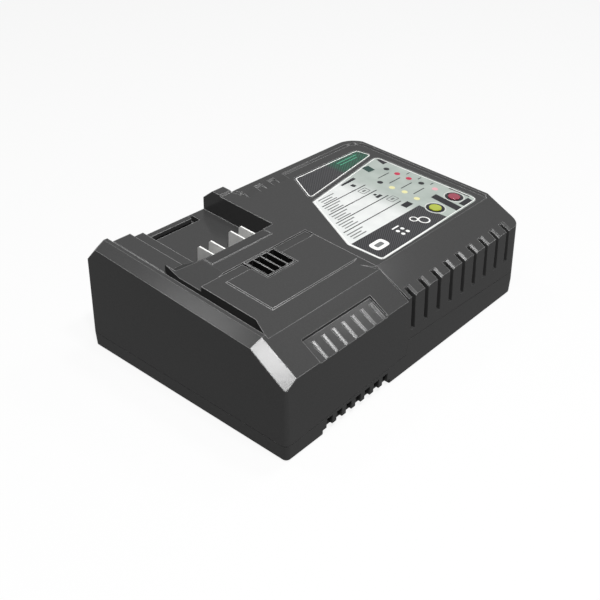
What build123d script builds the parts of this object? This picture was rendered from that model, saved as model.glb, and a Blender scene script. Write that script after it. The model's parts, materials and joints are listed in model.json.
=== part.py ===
from build123d import *

import os
from math import cos, radians, sin, tan

os.makedirs("parts", exist_ok=True)

# Battery charger for cordless power tools, in millimetres.
# X runs across the charger, from the open end of the battery bay (-X) to the user's side (+X).
# Y runs from the front block (-Y) back to the label deck (+Y). Z is up. The origin is under the
# middle of the charger, on the surface that its rubber feet stand on.

# Overall form
length = 190.0
width = 133.4  # across the waist, the widest level
drawn_for = (133.4, 190.0)  # width and length for which the places below are given
waist_height = 8.5
shell_bottom = 0.3  # the feet stand this far proud of the shell
deck_height = 56.0  # above the middle of the charger
deck_tilt = 4.5  # degrees that the whole top falls towards the user's side
wall = 2.5
wall_draft = 2.2  # degrees that the side walls lean in above the waist
base_draft = 2.0  # degrees that they lean in below it
base_chamfer = 0.5
front_corner = 2.6
rear_left_corner = 20.0
rear_right_corner = 6.0
least_corner = 0.6  # radius that is left to a corner drawn in towards the inside
above = 20.0  # how far cuts run on above the deck
overrun = 3.0  # how far cuts run on past the form that they shape
cut_through = 1.0  # how far a cut that opens a floor or wall runs on behind it
merge = 0.5  # how far joined shapes reach into each other


def across(x):
    """The x of a place, which stretches with the width of the charger."""
    return x * width / drawn_for[0]


def from_front(distance):
    """The y of a place this far back from the front face, which stretches with the length."""
    return (distance / drawn_for[1] - 0.5) * length


def span(front, back):
    """Length along the charger between two distances from the front face."""
    return from_front(back) - from_front(front)


# Cross sections. A foot is the height where a sloping edge meets the side wall.
edge_reach = across(65.0)
right_break = across(46.0)
front_left_break = across(-58.3)
front_left_foot = 54.0
front_right_foot = 41.0
ear_left_break = across(-57.5)
ear_left_foot = 55.0
rear_right_foot = 42.3

# Rim along the far side and the rear of the label deck, over a shoulder that falls to the walls
rim_left = across(-50.8)
rim_back = 189.3
rim_corner = 14.0
shoulder_fall = 46.0  # degrees below level
rim_rise = 0.8  # above the label deck
rim_inner_left = across(-45.6)
rim_inner_back = 184.8
rim_inner_corner = 8.0
rim_front = 87.5  # the deck is level from the bay to here
rim_slant = 60.0  # degrees from upright of its inner face
ear_right = across(-51.0)
tab_right = across(-41.2)
tabs = ((89.5, 99.0), (103.5, 109.0), (113.5, 121.0))  # front and back of each tab that runs off the rim

# Distances back from the front face
bevel_back = 8.0
bevel_angle = 24.0
bay_back = 78.5
step_back = 86.5

# Seam between the two shells, as heights above the table
seam_front = 8.5
seam_before_step = 10.7
seam_after_step = 18.8
seam_rear = 13.4
seam_gap = 0.2
seam_step = 2.0  # length of its steep part, where it steps up to the rear block
tongue_height = 2.0
tongue_thickness = 1.2
tongue_root_depth = 3.0  # below the seam
tongue_clearance = 0.15

# Battery bay, with depths below the deck
bay_right = across(-13.8)
bay_front = 36.5
bay_depth = 12.4
rail_front = 18.0
rail_back = 28.5
rail_depth = 7.7
lip_depth = 10.3
ramp_foot = across(-26.0)
channel_front = 10.2
channel_back = 15.8
channel_depth = 8.0
bank_back = 30.0  # the deck beside the bay slopes down to the channel from here
bank_depth = 3.5
channel_right = across(46.5)
channel_corner = across(35.1)
catch_left = across(-61.0)
catch_width = 4.0
catch_length = 30.0
catch_foot = 2.2

# Raised platform, pad and ramp beside the bay
platform_left = across(1.0)
platform_drop = 0.9
pad_left = across(6.2)
pad_right = across(35.5)
pad_front = 26.0
pad_back = 82.5
pad_rise = 0.6
pad_taper = 40.0
ramp_right = across(47.9)
ramp_run = 5.0
ramp_gap = 1.5

# Air grille
grille_left = across(1.2)
grille_length = 16.2
grille_front = 42.2
grille_width = 20.4
grille_seat = 1.5
grille_top = 0.1  # above the deck
grille_chamfer = 0.3
grille_rim = 0.7
grille_skirt = 2.2
grille_slots = 4
grille_rib = 0.7
grille_skirt_wall = 0.4
grille_clearance = 0.15

# Louvred band on the front slope
louvre_top = across(54.6)
louvre_rib_top = across(57.4)
louvre_front = 23.0
louvre_back = 70.4
louvre_depth = 1.5
louvre_foot_depth = 0.5
louvre_first = 27.5
louvre_pitch = 6.7
louvre_count = 7
louvre_rib = 1.3
slant = 27.0  # degrees that the front of a louvre or the rear edge of a vent leans to the front

# Side vents of the rear block
vent_first = 90.6
vent_pitch = 10.75
vent_count = 9
vent_width = 3.2
vent_bottom = 23.5
vent_inner = across(60.3)
vent_lip = 1.4  # width of the slanted rear edge of each vent
left_vent_top = 40.0

# Low vents of the front block
low_vent_first = 28.6
low_vent_pitch = 6.8
low_vent_count = 7
low_vent_width = 4.0
low_vent_top = 8.0
low_vent_bottom = 3.0
low_relief_margin = 2.5
low_vent_reach = 6.0

# Label panels
label_depth = 0.9
label_thickness = 0.7
label_clearance = 0.15
lens_x = across(33.0)
red_lens_back = 172.5
green_lens_back = 154.5
lens_radius = 3.4
lens_flange = 4.4
lens_flange_height = 0.6
lens_seat_gap = 0.05
lens_clearance = 0.1
lens_proud = 0.4

# Terminal block and contacts
block_right = across(-7.6)
block_front = 31.0
block_back = 71.3
block_clearance = 0.15
block_chamfer = 0.4
blade_left = across(-26.0)
blade_thickness = 0.9
blade_top = 1.5
blade_bottom = 11.0
blade_root = 3.2
blade_chamfer = 1.0
blade_fit = 0.1
tail_width = 2.4
tail_clearance = 0.3
tail_overhang = 0.8  # below the contact board
power_rows = (39.0, 67.0)
signal_rows = (46.5, 60.0)

# Contact board under the bay
contact_left = across(-20.0)
contact_right = across(-4.0)
contact_drop = 2.0  # below the underside of the bay floor
contact_thickness = 1.6
contact_margin = 2.0
contact_post_x = across(-16.5)
contact_post_radius = 2.2

# Feet and shell screws
foot_radius = 6.0
foot_height = 2.0
foot_clearance = 0.2
foot_chamfer = 0.4
foot_x = across(52.0)
foot_inset = 16.0
shell_screw_x = across(54.0)
shell_screw_inset = 30.0
shell_screw_radius = 1.5
shell_screw_head = 3.0
shell_screw_length = 16.0
shell_screw_head_height = 2.0
shell_screw_seat = 6.0
driver_reach = 3.4  # cross slot for the screwdriver
driver_width = 0.8
driver_depth = 1.1
post_radius = 4.2
post_bottom = 11.0
screw_clearance = 0.2

small_screw_radius = 1.0
small_screw_head = 2.0
small_screw_head_height = 1.2
thread_fit = 0.05
screw_tip_gap = 0.5  # depth of the hole that is left past the tip of a screw

# Fan, duct and pillars
fan_x = across(17.0)
fan_back = 52.7
fan_size = 40.0
fan_height = 10.0
fan_bottom = 20.0
fan_bore = 18.6
fan_corner = 3.0
fan_pitch = 32.0
fan_hole = 1.7
motor_radius = 8.4
motor_plate = 1.5
strut_width = 2.0
fan_struts = 4
fan_coils = 4
bearing_outer = 3.0
bearing_height = 6.0
cup_gap = 1.0  # between the motor plate and the rotor
cup_recess = 0.8  # below the top of the frame
coil_gap = 1.6
coil_notch = (2.6, 1.2)
coil_drop = 0.8
shaft_radius = 1.0
running_fit = 0.05
axial_gap = 0.3
hub_radius = 10.0
hub_wall = 1.1
blade_tip_gap = 0.6
fan_blades = 7
fan_blade_thickness = 0.9
fan_blade_chord = 8.6
fan_blade_pitch = 52.0
duct_wall = 1.2
duct_flange = 1.5
mouth_margin = 0.7
pillar_radius = 3.4
fan_screw_radius = 1.4
fan_screw_head = 2.6
fan_screw_head_height = 1.6
fan_screw_grip = 6.0

# Main board
board_left = across(-48.0)
board_right = across(48.0)
board_front = 92.0
board_back = 178.0
board_height = 12.0
board_thickness = 1.6
standoff_radius = 3.6
standoff_inset = 5.0
board_screw_radius = 1.4
board_screw_head = 2.7
board_screw_head_height = 1.8
board_screw_length = 7.0

# Parts on the main board: x and distance from the front face
transformer_x = across(8.0)
transformer_back = 128.0
core_width = 30.0
core_height = 24.0
core_length = 11.0
core_leg = 4.5
core_middle = 8.0
core_lift = 3.0
bobbin_flange = 1.0
bobbin_gap = 0.2
winding_corner = 3.0
choke_x = across(-30.0)
choke_back = 143.5
choke_radius = 9.0
choke_section = 4.5
choke_height = 9.0
choke_base = 1.5
primary_capacitor_at = (across(-33.0), 109.0)
primary_capacitor_radius = 9.0
primary_capacitor_height = 27.0
output_capacitors_at = ((across(30.0), 145.5), (across(30.0), 157.0), (across(18.0), 157.0))
output_capacitor_radius = 5.0
output_capacitor_height = 17.0
safety_capacitor_at = (across(-10.0), 168.0)
safety_capacitor_plan = (18.0, 8.5)
safety_capacitor_height = 15.0
bridge_at = (across(-14.0), 150.0)
bridge_plan = (4.6, 22.0)
bridge_height = 16.0
fuse_at = (across(-34.0), 158.0)
fuse_length = 20.0
fuse_radius = 2.6
fuse_lift = 3.6
clip_length = 5.0
clip_wall = 0.8
input_sink_at = (across(-15.0), 119.0)
output_sink_at = (across(38.0), 116.0)
sink_plate = 2.5
sink_length = 30.0
sink_fins = 6
sink_fin = 1.2
sink_fin_reach = 6.0
sink_height = 25.0
transistor_thickness = 4.4
transistor_width = 10.0
transistor_height = 15.0
transistor_legs = 5.0
transistor_pitch = 16.0
leg_pitch = 2.54
leg_plan = (0.6, 0.8)
inductor_at = (across(24.0), 104.5)
inductor_radius = 7.5
inductor_bore = 3.0
inductor_height = 8.0
inductor_round = 1.6
chip_at = (across(6.0), 150.0)
chip_plan = (10.0, 4.0)
chip_height = 1.6
chip_legs = 8  # on each side
chip_leg = (0.42, 1.8)
chip_leg_pitch = 1.27
chip_leg_height = 0.4
small_round = 0.6
lead_header_x = (across(-10.0), across(10.0))
lead_header_back = 98.0
header_length = 8.0
header_width = 5.0
header_height = 5.0
lead_radius = 0.9
battery_lead_x = (across(-10.0) - 2.0, across(-10.0) + 2.0)
battery_lead_back = 53.0
fan_lead_x = (across(10.0) - 1.5, across(10.0) + 1.5)
battery_lead_rise = 6.0  # above the underside of the fan
fan_lead_rise = 4.0
mains_lead_run = 6.0

# Display board under the label
display_left = across(22.0)
display_right = across(44.0)
display_front = 148.0
display_back = 180.0
display_drop = 9.0
display_thickness = 1.2
display_post_radius = 2.6
display_post_inset = 3.0
display_post_step = 7.0  # clears the lamp beside it
lamp_radius = 2.5
lamp_height = 3.4
lamp_gap = 0.3  # between a lamp and its lens
display_screw_grip = 4.0
ribbon_x = across(33.0)
ribbon_back = 170.0
ribbon_width = 8.0
ribbon_shift = 6.0
ribbon_bend = 4.0
ribbon_thickness = 0.7
ribbon_start_gap = 0.3
socket_width = 3.0
socket_height = 4.0

# Mains inlet in the rear wall
inlet_x = across(-30.0)
inlet_height = 28.0
inlet_width = 20.0
inlet_tall = 12.0
inlet_depth = 16.0
inlet_flange = 1.5
inlet_flange_thickness = 1.4
inlet_sink = 1.8  # its seat lies this far inside the rear end of the charger
inlet_clearance = 0.15
socket_pitch = 8.6
socket_radius = 4.1
socket_depth = 11.0
inlet_pin_radius = 1.2
inlet_pin_fit = 0.02
inlet_pin_tail = 2.5
inlet_corner = 1.5

inlet_seat = length / 2 - inlet_sink
pin_points = [(inlet_x + side * socket_pitch / 2, inlet_height) for side in (-1, 1)]
slope = tan(radians(deck_tilt))
deck_run = Vector(cos(radians(deck_tilt)), 0, -sin(radians(deck_tilt)))
deck_up = Vector(sin(radians(deck_tilt)), 0, cos(radians(deck_tilt)))
deck = Plane(origin=(0, 0, deck_height), x_dir=deck_run, z_dir=deck_up)


def deck_section(distance):
    """Plane across the charger whose own axes follow the tilted deck."""
    return Plane(origin=(0, from_front(distance), deck_height), x_dir=deck_run, z_dir=(0, -1, 0))


def deck_side(x):
    """Upright plane along the charger at this x, with its own y axis square to the deck."""
    return Plane(origin=(x, 0, deck_height - x * slope), x_dir=(0, 1, 0), z_dir=deck_run)


def area(left, right, front, back, mode=Mode.ADD):
    """Rectangle between two x values and two distances from the front face."""
    with Locations(((left + right) / 2, from_front((front + back) / 2))):
        Rectangle(right - left, span(front, back), mode=mode)


def plan_outline(inset):
    """The charger seen from above at its waist, drawn in by inset."""
    half_width = width / 2 - inset
    half_length = length / 2 - inset
    corners = (
        (-half_width, -half_length, front_corner),
        (half_width, -half_length, front_corner),
        (-half_width, half_length, rear_left_corner),
        (half_width, half_length, rear_right_corner),
    )
    with BuildSketch(mode=Mode.PRIVATE) as outline:
        Rectangle(2 * half_width, 2 * half_length)
        for x, y, radius in corners:
            corner = outline.vertices().sort_by_distance((x, y, 0))[0]
            fillet(corner, max(radius - inset, least_corner))
    return outline.sketch


def plan_solid(inset, base_edge=0):
    """Side walls of the charger as a closed solid, drawn in by inset, with its bottom edge broken."""
    bottom = shell_bottom + inset
    wall_bottom = bottom + base_edge
    lean = (waist_height - wall_bottom) * tan(radians(base_draft))
    with BuildPart(mode=Mode.PRIVATE) as plan:
        if base_edge > 0:
            with BuildSketch(Plane.XY.offset(bottom)):
                add(plan_outline(inset + lean + base_edge))
            extrude(amount=base_edge, taper=-45)
        with BuildSketch(Plane.XY.offset(wall_bottom)):
            add(plan_outline(inset + lean))
        extrude(amount=waist_height - wall_bottom, taper=-base_draft)
        with BuildSketch(Plane.XY.offset(waist_height)):
            add(plan_outline(inset))
        extrude(amount=deck_height, taper=wall_draft)
    return plan.part


def cross_section(left_break, left_foot, right_foot, rise, inset):
    """Outline across the body, its top lifted by rise. It runs past the side walls, which trim it."""
    reach = width / 2 + above
    left_top = deck_height - left_break * slope
    left_fall = (left_top - left_foot) / (left_break + edge_reach)
    right_fall = (deck_height - right_break * slope - right_foot) / (edge_reach - right_break)
    right_end = right_break - rise / (right_fall - slope)
    with BuildSketch(mode=Mode.PRIVATE) as section:
        Polygon(
            (-reach, -reach),
            (-reach, left_foot - left_fall * (reach - edge_reach)),
            (left_break, left_top + rise),
            (right_end, deck_height - right_end * slope + rise),
            (reach, right_foot - right_fall * (reach - edge_reach)),
            (reach, -reach),
            align=None,
        )
        if inset > 0:
            offset(amount=-inset, kind=Kind.INTERSECTION)
    return section.sketch


def shoulder(inset):
    """Everything under the rim's outer edge, whose sides widen downwards on the far side and the rear."""
    left = rim_left + inset * tan(radians(shoulder_fall / 2))
    back = from_front(rim_back) - inset * tan(radians(shoulder_fall / 2))
    with BuildPart(mode=Mode.PRIVATE) as region:
        with BuildSketch(deck.offset(rim_rise - inset)) as outline:
            with Locations(((left + width) / 2, (back - length) / 2)):
                Rectangle(width - left, back + length)
            fillet(outline.vertices().sort_by_distance((left, back, 0))[0], rim_corner)
        extrude(amount=-deck_height - above, taper=shoulder_fall - 90)
    return region.part


def body_solid(inset, base_edge=0):
    """The closed form of the charger, drawn in by inset on every side."""
    front = cross_section(front_left_break, front_left_foot, front_right_foot, 0, inset)
    ear = cross_section(ear_left_break, ear_left_foot, front_right_foot, rim_rise, inset)
    rear = cross_section(ear_left_break, ear_left_foot, rear_right_foot, rim_rise, inset)
    walls = plan_solid(inset, base_edge)
    bevel_end = from_front(bevel_back)
    front_end = from_front(bay_back) + inset
    rear_start = from_front(step_back) - inset
    end = length / 2 + overrun
    with BuildPart(mode=Mode.PRIVATE) as rear_block:
        with BuildSketch(Plane.XZ.offset(-end)):
            add(rear)
        extrude(amount=end - rear_start)
        add(shoulder(inset), mode=Mode.INTERSECT)
    with BuildPart(mode=Mode.PRIVATE) as body:
        with BuildSketch(Plane.XZ.offset(-bevel_end)):
            add(front)
        extrude(amount=bevel_end + end, taper=bevel_angle)
        with BuildSketch(Plane.XZ.offset(-front_end)):
            add(front)
        extrude(amount=front_end - bevel_end)
        with BuildSketch(Plane.XZ.offset(-rear_start)):
            add(ear)
        extrude(amount=rear_start - front_end)
        add(rear_block.part)
        add(walls, mode=Mode.INTERSECT)
    return body.part


def below_seam(shift):
    """Everything under the seam between the shells, with the seam moved up by shift."""
    with BuildPart(mode=Mode.PRIVATE) as region:
        with BuildSketch(Plane.YZ.offset(-width)):
            Polygon(
                (-length, -length),
                (-length, seam_front + shift),
                (-length / 2, seam_front + shift),
                (from_front(step_back - seam_step / 2), seam_before_step + shift),
                (from_front(step_back + seam_step / 2), seam_after_step + shift),
                (length / 2, seam_rear + shift),
                (length, seam_rear + shift),
                (length, -length),
                align=None,
            )
        extrude(amount=2 * width)
    return region.part


outer_form = body_solid(0, base_chamfer)
inner_form = body_solid(wall)
under_seam = below_seam(-seam_gap / 2)
under_gap = below_seam(seam_gap / 2)

# Room inside the two shells: the inner form less the floors and walls of the sunk areas.
with BuildPart() as inside:
    add(inner_form)
    with BuildSketch(deck.offset(-wall)):
        Rectangle(2 * width, 2 * length)
    extrude(amount=deck_height, mode=Mode.SUBTRACT)
    with BuildSketch(deck.offset(-platform_drop - wall)):
        area(platform_left - wall, width, channel_front - wall, step_back + wall)
    extrude(amount=deck_height, mode=Mode.SUBTRACT)
    with BuildSketch(deck.offset(-bay_depth - wall)):
        area(-width, block_right + block_clearance + wall, channel_front - wall, bay_back + wall)
    extrude(amount=deck_height, mode=Mode.SUBTRACT)
    with BuildSketch(deck.offset(-channel_depth - wall)):
        area(-width, channel_right + wall, channel_front - wall, channel_back + wall)
        area(-width, platform_left + wall, channel_front - wall, bank_back + wall)
    extrude(amount=deck_height, mode=Mode.SUBTRACT)

shell_screw_points = [
    (side * shell_screw_x, end * (length / 2 - shell_screw_inset)) for side in (-1, 1) for end in (-1, 1)
]

# Posts that hang from the upper shell and take the shell screws.
with BuildPart() as screw_posts:
    with BuildSketch(Plane.XY.offset(post_bottom)):
        with Locations(*shell_screw_points):
            Circle(post_radius)
    extrude(amount=deck_height)
    add(outer_form, mode=Mode.INTERSECT)
    with BuildSketch(Plane.XY.offset(post_bottom)):
        with Locations(*shell_screw_points):
            Circle(shell_screw_radius + screw_clearance / 2)
    extrude(amount=shell_screw_length, mode=Mode.SUBTRACT)

# Label pockets, drawn on the deck: x, distance from the front face and radius of each corner
header_corners = ((-39.8, 123.1, 1.0), (-39.1, 177.5, 4.5), (-29.2, 179.5, 3.5), (-18.5, 112.2, 1.0))
panel_corners = (
    (-15.4, 110.9, 1.0),
    (24.6, 91.3, 2.0),
    (44.6, 92.7, 2.0),
    (43.3, 181.0, 5.0),
    (-26.1, 179.5, 4.0),
)


def label_outline(corners, grow):
    """Label outline with rounded corners, grown or shrunk all round."""
    points = [(across(x), from_front(back)) for x, back, radius in corners]
    with BuildSketch(mode=Mode.PRIVATE) as outline:
        Polygon(*points, align=None)
        for (x, y), corner in zip(points, corners):
            fillet(outline.vertices().sort_by_distance((x, y, 0))[0], corner[2])
        if grow != 0:
            offset(amount=grow)
    return outline.sketch


header_pocket = label_outline(header_corners, label_clearance)
panel_pocket = label_outline(panel_corners, label_clearance)
header_shape = label_outline(header_corners, 0)
panel_shape = label_outline(panel_corners, 0)
lens_points = [(lens_x, from_front(red_lens_back)), (lens_x, from_front(green_lens_back))]

front_fall = (deck_height - right_break * slope - front_right_foot) / (edge_reach - right_break)
rear_fall = (deck_height - right_break * slope - rear_right_foot) / (edge_reach - right_break)


def front_slope_height(x):
    """Height of the sloping edge of the front block at this x."""
    return front_right_foot + (edge_reach - x) * front_fall


grille_right = grille_left + grille_length
grille_back = grille_front + grille_width
display_posts = [
    (display_left + display_post_inset, from_front(display_front + display_post_inset)),
    (display_right - display_post_inset, from_front(display_front + display_post_inset + display_post_step)),
    (display_left + display_post_inset, from_front(display_back - display_post_inset)),
]
contact_posts = [
    (contact_post_x, from_front(block_front + contact_margin)),
    (contact_post_x, from_front(block_back - contact_margin)),
]

# Ribs of the louvred band: bars down the slope whose tops lean to the front
slope_run = Vector(1, 0, -front_fall).normalized()
with BuildPart() as louvre_ribs:
    for i in range(louvre_count):
        rib_y = from_front(louvre_first + i * louvre_pitch)
        rib_plane = Plane(origin=(louvre_rib_top, rib_y, front_slope_height(louvre_rib_top)), x_dir=(0, 1, 0),
                          z_dir=slope_run)
        with BuildSketch(rib_plane):
            Polygon(
                (-louvre_rib / 2, -louvre_depth - merge),
                (-louvre_rib / 2, -louvre_rib * tan(radians(slant))),
                (louvre_rib / 2, 0),
                (louvre_rib / 2, -louvre_depth - merge),
                align=None,
            )
        extrude(amount=width / 2 - louvre_rib_top + overrun)
    add(outer_form, mode=Mode.INTERSECT)
    add(inside.part, mode=Mode.SUBTRACT)

# Wedges cut off the rear edges of the side vents, where these cross the slope
rear_run = Vector(1, 0, -rear_fall).normalized()
vent_inner_height = rear_right_foot + (edge_reach - vent_inner) * rear_fall
with BuildPart() as vent_lips:
    for i in range(vent_count):
        vent_rear = from_front(vent_first + i * vent_pitch + vent_width / 2)
        with BuildSketch(Plane(origin=(vent_inner, vent_rear, vent_inner_height), x_dir=(0, 1, 0),
                               z_dir=rear_run)):
            Polygon(
                (-vent_width / 2, -vent_lip * tan(radians(slant))),
                (0, -vent_lip * tan(radians(slant))),
                (vent_lip, 0),
                (vent_lip, overrun),
                (-vent_width / 2, overrun),
                align=None,
            )
        extrude(amount=width / 2 - vent_inner + overrun)

with BuildPart() as upper_housing:
    add(outer_form)
    add(inside.part, mode=Mode.SUBTRACT)
    add(screw_posts.part)
    add(under_gap, mode=Mode.SUBTRACT)
    # battery bay
    with BuildSketch(deck.offset(-bay_depth)):
        area(-width, bay_right, bay_front, bay_back)
        area(bay_right - merge, block_right + block_clearance, block_front - block_clearance,
             block_back + block_clearance)
    extrude(amount=deck_height, mode=Mode.SUBTRACT)
    for depth, front, back in ((rail_depth, rail_front, rail_back), (lip_depth, rail_back, bay_front)):
        with BuildSketch(deck_section(back)):
            Polygon((-width, -depth), (ramp_foot, -depth), (bay_right, 0), (bay_right, above),
                    (-width, above), align=None)
        extrude(amount=span(front, back), mode=Mode.SUBTRACT)
    with BuildSketch(deck_side(platform_left)):
        Polygon(
            (from_front(channel_back), -bank_depth),
            (from_front(bank_back), 0),
            (from_front(bank_back), above),
            (from_front(channel_back), above),
            align=None,
        )
    extrude(amount=-width, mode=Mode.SUBTRACT)
    with BuildSketch(deck.offset(-channel_depth)):
        Polygon(
            (-width, from_front(channel_front)),
            (channel_right, from_front(channel_front)),
            (channel_corner, from_front(channel_back)),
            (bay_right, from_front(channel_back)),
            (ramp_foot, from_front(rail_front)),
            (-width, from_front(rail_front)),
            align=None,
        )
    extrude(amount=deck_height, mode=Mode.SUBTRACT)
    with BuildSketch(deck.offset(-bay_depth - wall - cut_through)):
        area(catch_left, catch_left + catch_width, bay_front, bay_front + catch_length)
        area(catch_left - catch_foot, catch_left + catch_width, bay_front + catch_length,
             bay_front + catch_length + catch_foot)
    extrude(amount=deck_height, mode=Mode.SUBTRACT)
    # slots under the terminal block for the contact tails
    with BuildSketch(deck.offset(-bay_depth - wall - cut_through)):
        for row in power_rows + signal_rows:
            slot_left = bay_right + blade_root - tail_width - tail_clearance
            slot_right = bay_right + blade_root + tail_clearance
            slot_half = blade_thickness / 2 + tail_clearance
            area(slot_left, slot_right, row - slot_half, row + slot_half)
    extrude(amount=wall + 2 * cut_through, mode=Mode.SUBTRACT)
    # platform, its pad and the ramp up to the label deck
    with BuildSketch(deck.offset(-platform_drop)):
        Polygon(
            (platform_left, from_front(channel_back)),
            (channel_corner, from_front(channel_back)),
            (channel_right, from_front(channel_front)),
            (width, from_front(channel_front)),
            (width, from_front(step_back)),
            (platform_left, from_front(step_back)),
            align=None,
        )
    extrude(amount=deck_height, mode=Mode.SUBTRACT)
    with BuildSketch(deck.offset(-platform_drop)):
        area(pad_left, pad_right, pad_front, step_back + overrun)
    extrude(amount=pad_rise, taper=pad_taper)
    with BuildSketch(deck_side(pad_left)):
        Polygon(
            (from_front(pad_back), -platform_drop - merge),
            (from_front(pad_back), -platform_drop),
            (from_front(step_back + merge), 0),
            (from_front(step_back + overrun), 0),
            (from_front(step_back + overrun), -platform_drop - merge),
            align=None,
        )
    extrude(amount=right_break - pad_left)
    with BuildSketch(deck.offset(-platform_drop)):
        Polygon(
            (pad_right + ramp_gap, from_front(step_back) - ramp_run),
            (ramp_right + overrun, from_front(step_back) - ramp_run),
            (ramp_right + overrun, from_front(step_back)),
            (ramp_right, from_front(step_back)),
            align=None,
        )
    extrude(amount=deck_height, mode=Mode.SUBTRACT)
    # opening for the air grille, with a sunk seat for its rim
    with BuildSketch(deck.offset(-grille_seat)):
        area(grille_left - grille_clearance, grille_right + grille_clearance,
             grille_front - grille_clearance, grille_back + grille_clearance)
    extrude(amount=deck_height, mode=Mode.SUBTRACT)
    with BuildSketch(deck.offset(-wall - overrun)):
        area(grille_left + grille_rim, grille_right - grille_rim, grille_front + grille_rim,
             grille_back - grille_rim)
    extrude(amount=wall + 2 * overrun, mode=Mode.SUBTRACT)
    # louvred band on the front slope
    with BuildSketch(Plane.XZ.offset(-from_front(louvre_back))):
        Polygon(
            (louvre_top, front_slope_height(louvre_top) + overrun),
            (louvre_top, front_slope_height(louvre_top) - louvre_depth),
            (edge_reach + overrun, front_slope_height(edge_reach + overrun) - louvre_foot_depth),
            (edge_reach + overrun, front_slope_height(louvre_top) + overrun),
            align=None,
        )
    extrude(amount=span(louvre_front, louvre_back), mode=Mode.SUBTRACT)
    add(louvre_ribs.part)
    # label deck, sunk inside its rim, and the tabs that run down to it
    with BuildSketch(deck) as sunk_deck:
        Polygon(
            (ear_right, from_front(bay_back) - overrun),
            (ear_right, from_front(step_back)),
            (rim_inner_left, from_front(rim_front)),
            (rim_inner_left, from_front(rim_inner_back)),
            (width, from_front(rim_inner_back)),
            (width, from_front(bay_back) - overrun),
            align=None,
        )
        inner_corner = (rim_inner_left, from_front(rim_inner_back), 0)
        fillet(sunk_deck.vertices().sort_by_distance(inner_corner)[0], rim_inner_corner)
    extrude(amount=rim_rise, taper=-rim_slant, mode=Mode.SUBTRACT)
    tab_left = rim_inner_left - rim_rise * tan(radians(rim_slant)) - merge
    for front, back in tabs:
        with BuildSketch(deck_section(back)):
            Polygon(
                (tab_left, -wall / 2),
                (tab_left, rim_rise),
                (rim_inner_left, rim_rise),
                (tab_right, 0),
                (tab_right, -wall / 2),
                align=None,
            )
        extrude(amount=span(front, back))
    # side vents of the rear block, on the user's side and on the far side
    for i in range(vent_count):
        with BuildSketch(Plane.XY.offset(vent_bottom)):
            area(vent_inner, width, vent_first + i * vent_pitch - vent_width / 2,
                 vent_first + i * vent_pitch + vent_width / 2)
        extrude(amount=deck_height, mode=Mode.SUBTRACT)
        if 0 < i < vent_count - 1:
            with BuildSketch(Plane.XY.offset(vent_bottom)):
                area(-width, -vent_inner, vent_first + i * vent_pitch - vent_width / 2,
                     vent_first + i * vent_pitch + vent_width / 2)
            extrude(amount=left_vent_top - vent_bottom, mode=Mode.SUBTRACT)
    add(vent_lips.part, mode=Mode.SUBTRACT)
    # label pockets and lamp holes
    with BuildSketch(deck.offset(-label_depth)):
        add(header_pocket)
        add(panel_pocket)
    extrude(amount=label_depth + overrun, mode=Mode.SUBTRACT)
    with BuildSketch(deck.offset(-wall - overrun)):
        with Locations(*lens_points):
            Circle(lens_radius + lens_clearance)
    extrude(amount=wall + overrun, mode=Mode.SUBTRACT)
    # posts that carry the display board
    with BuildSketch(deck.offset(-display_drop)):
        with Locations(*display_posts):
            Circle(display_post_radius)
    extrude(amount=display_drop - wall / 2)
    with BuildSketch(deck.offset(-display_drop)):
        with Locations(*display_posts):
            Circle(small_screw_radius)
    extrude(amount=display_screw_grip + screw_tip_gap, mode=Mode.SUBTRACT)
    # posts that carry the contact board
    with BuildSketch(deck.offset(-bay_depth - wall - contact_drop)):
        with Locations(*contact_posts):
            Circle(contact_post_radius)
    extrude(amount=contact_drop + wall / 2)
    with BuildSketch(deck.offset(-bay_depth - wall - contact_drop)):
        with Locations(*contact_posts):
            Circle(small_screw_radius)
    extrude(amount=contact_drop + wall / 2, mode=Mode.SUBTRACT)
    # mains inlet opening with a flat seat for its flange
    with BuildSketch(Plane.XZ.offset(-inlet_seat)):
        with Locations((inlet_x, inlet_height)):
            Rectangle(inlet_width + 2 * (inlet_flange + inlet_clearance),
                      inlet_tall + 2 * (inlet_flange + inlet_clearance))
    extrude(amount=-wall, mode=Mode.SUBTRACT)
    with BuildSketch(Plane.XZ.offset(-(length / 2 - inlet_depth))):
        with Locations((inlet_x, inlet_height)):
            Rectangle(inlet_width + 2 * inlet_clearance, inlet_tall + 2 * inlet_clearance)
    extrude(amount=-inlet_depth - overrun, mode=Mode.SUBTRACT)

tongue_outer = plan_solid(wall + tongue_clearance)
tongue_inner = plan_solid(wall + tongue_clearance + tongue_thickness)
tongue_root = plan_solid(wall / 2)
pillar_points = [
    (fan_x + i * fan_pitch / 2, from_front(fan_back) + j * fan_pitch / 2) for i in (-1, 1) for j in (-1, 1)
]
standoff_points = [
    (x, from_front(back))
    for x in (board_left + standoff_inset, board_right - standoff_inset)
    for back in (board_front + standoff_inset, (board_front + board_back) / 2, board_back - standoff_inset)
]
foot_points = [(side * foot_x, end * (length / 2 - foot_inset)) for side in (-1, 1) for end in (-1, 1)]

# Tongue that locates the upper shell on the lower one.
with BuildPart() as tongue_wall:
    add(tongue_outer)
    add(below_seam(tongue_height), mode=Mode.INTERSECT)
with BuildPart() as tongue_base:
    add(tongue_root)
    add(under_seam, mode=Mode.INTERSECT)
with BuildPart() as tongue:
    add(tongue_wall.part)
    add(tongue_base.part)
    add(tongue_inner, mode=Mode.SUBTRACT)
    add(below_seam(-tongue_root_depth), mode=Mode.SUBTRACT)

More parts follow.
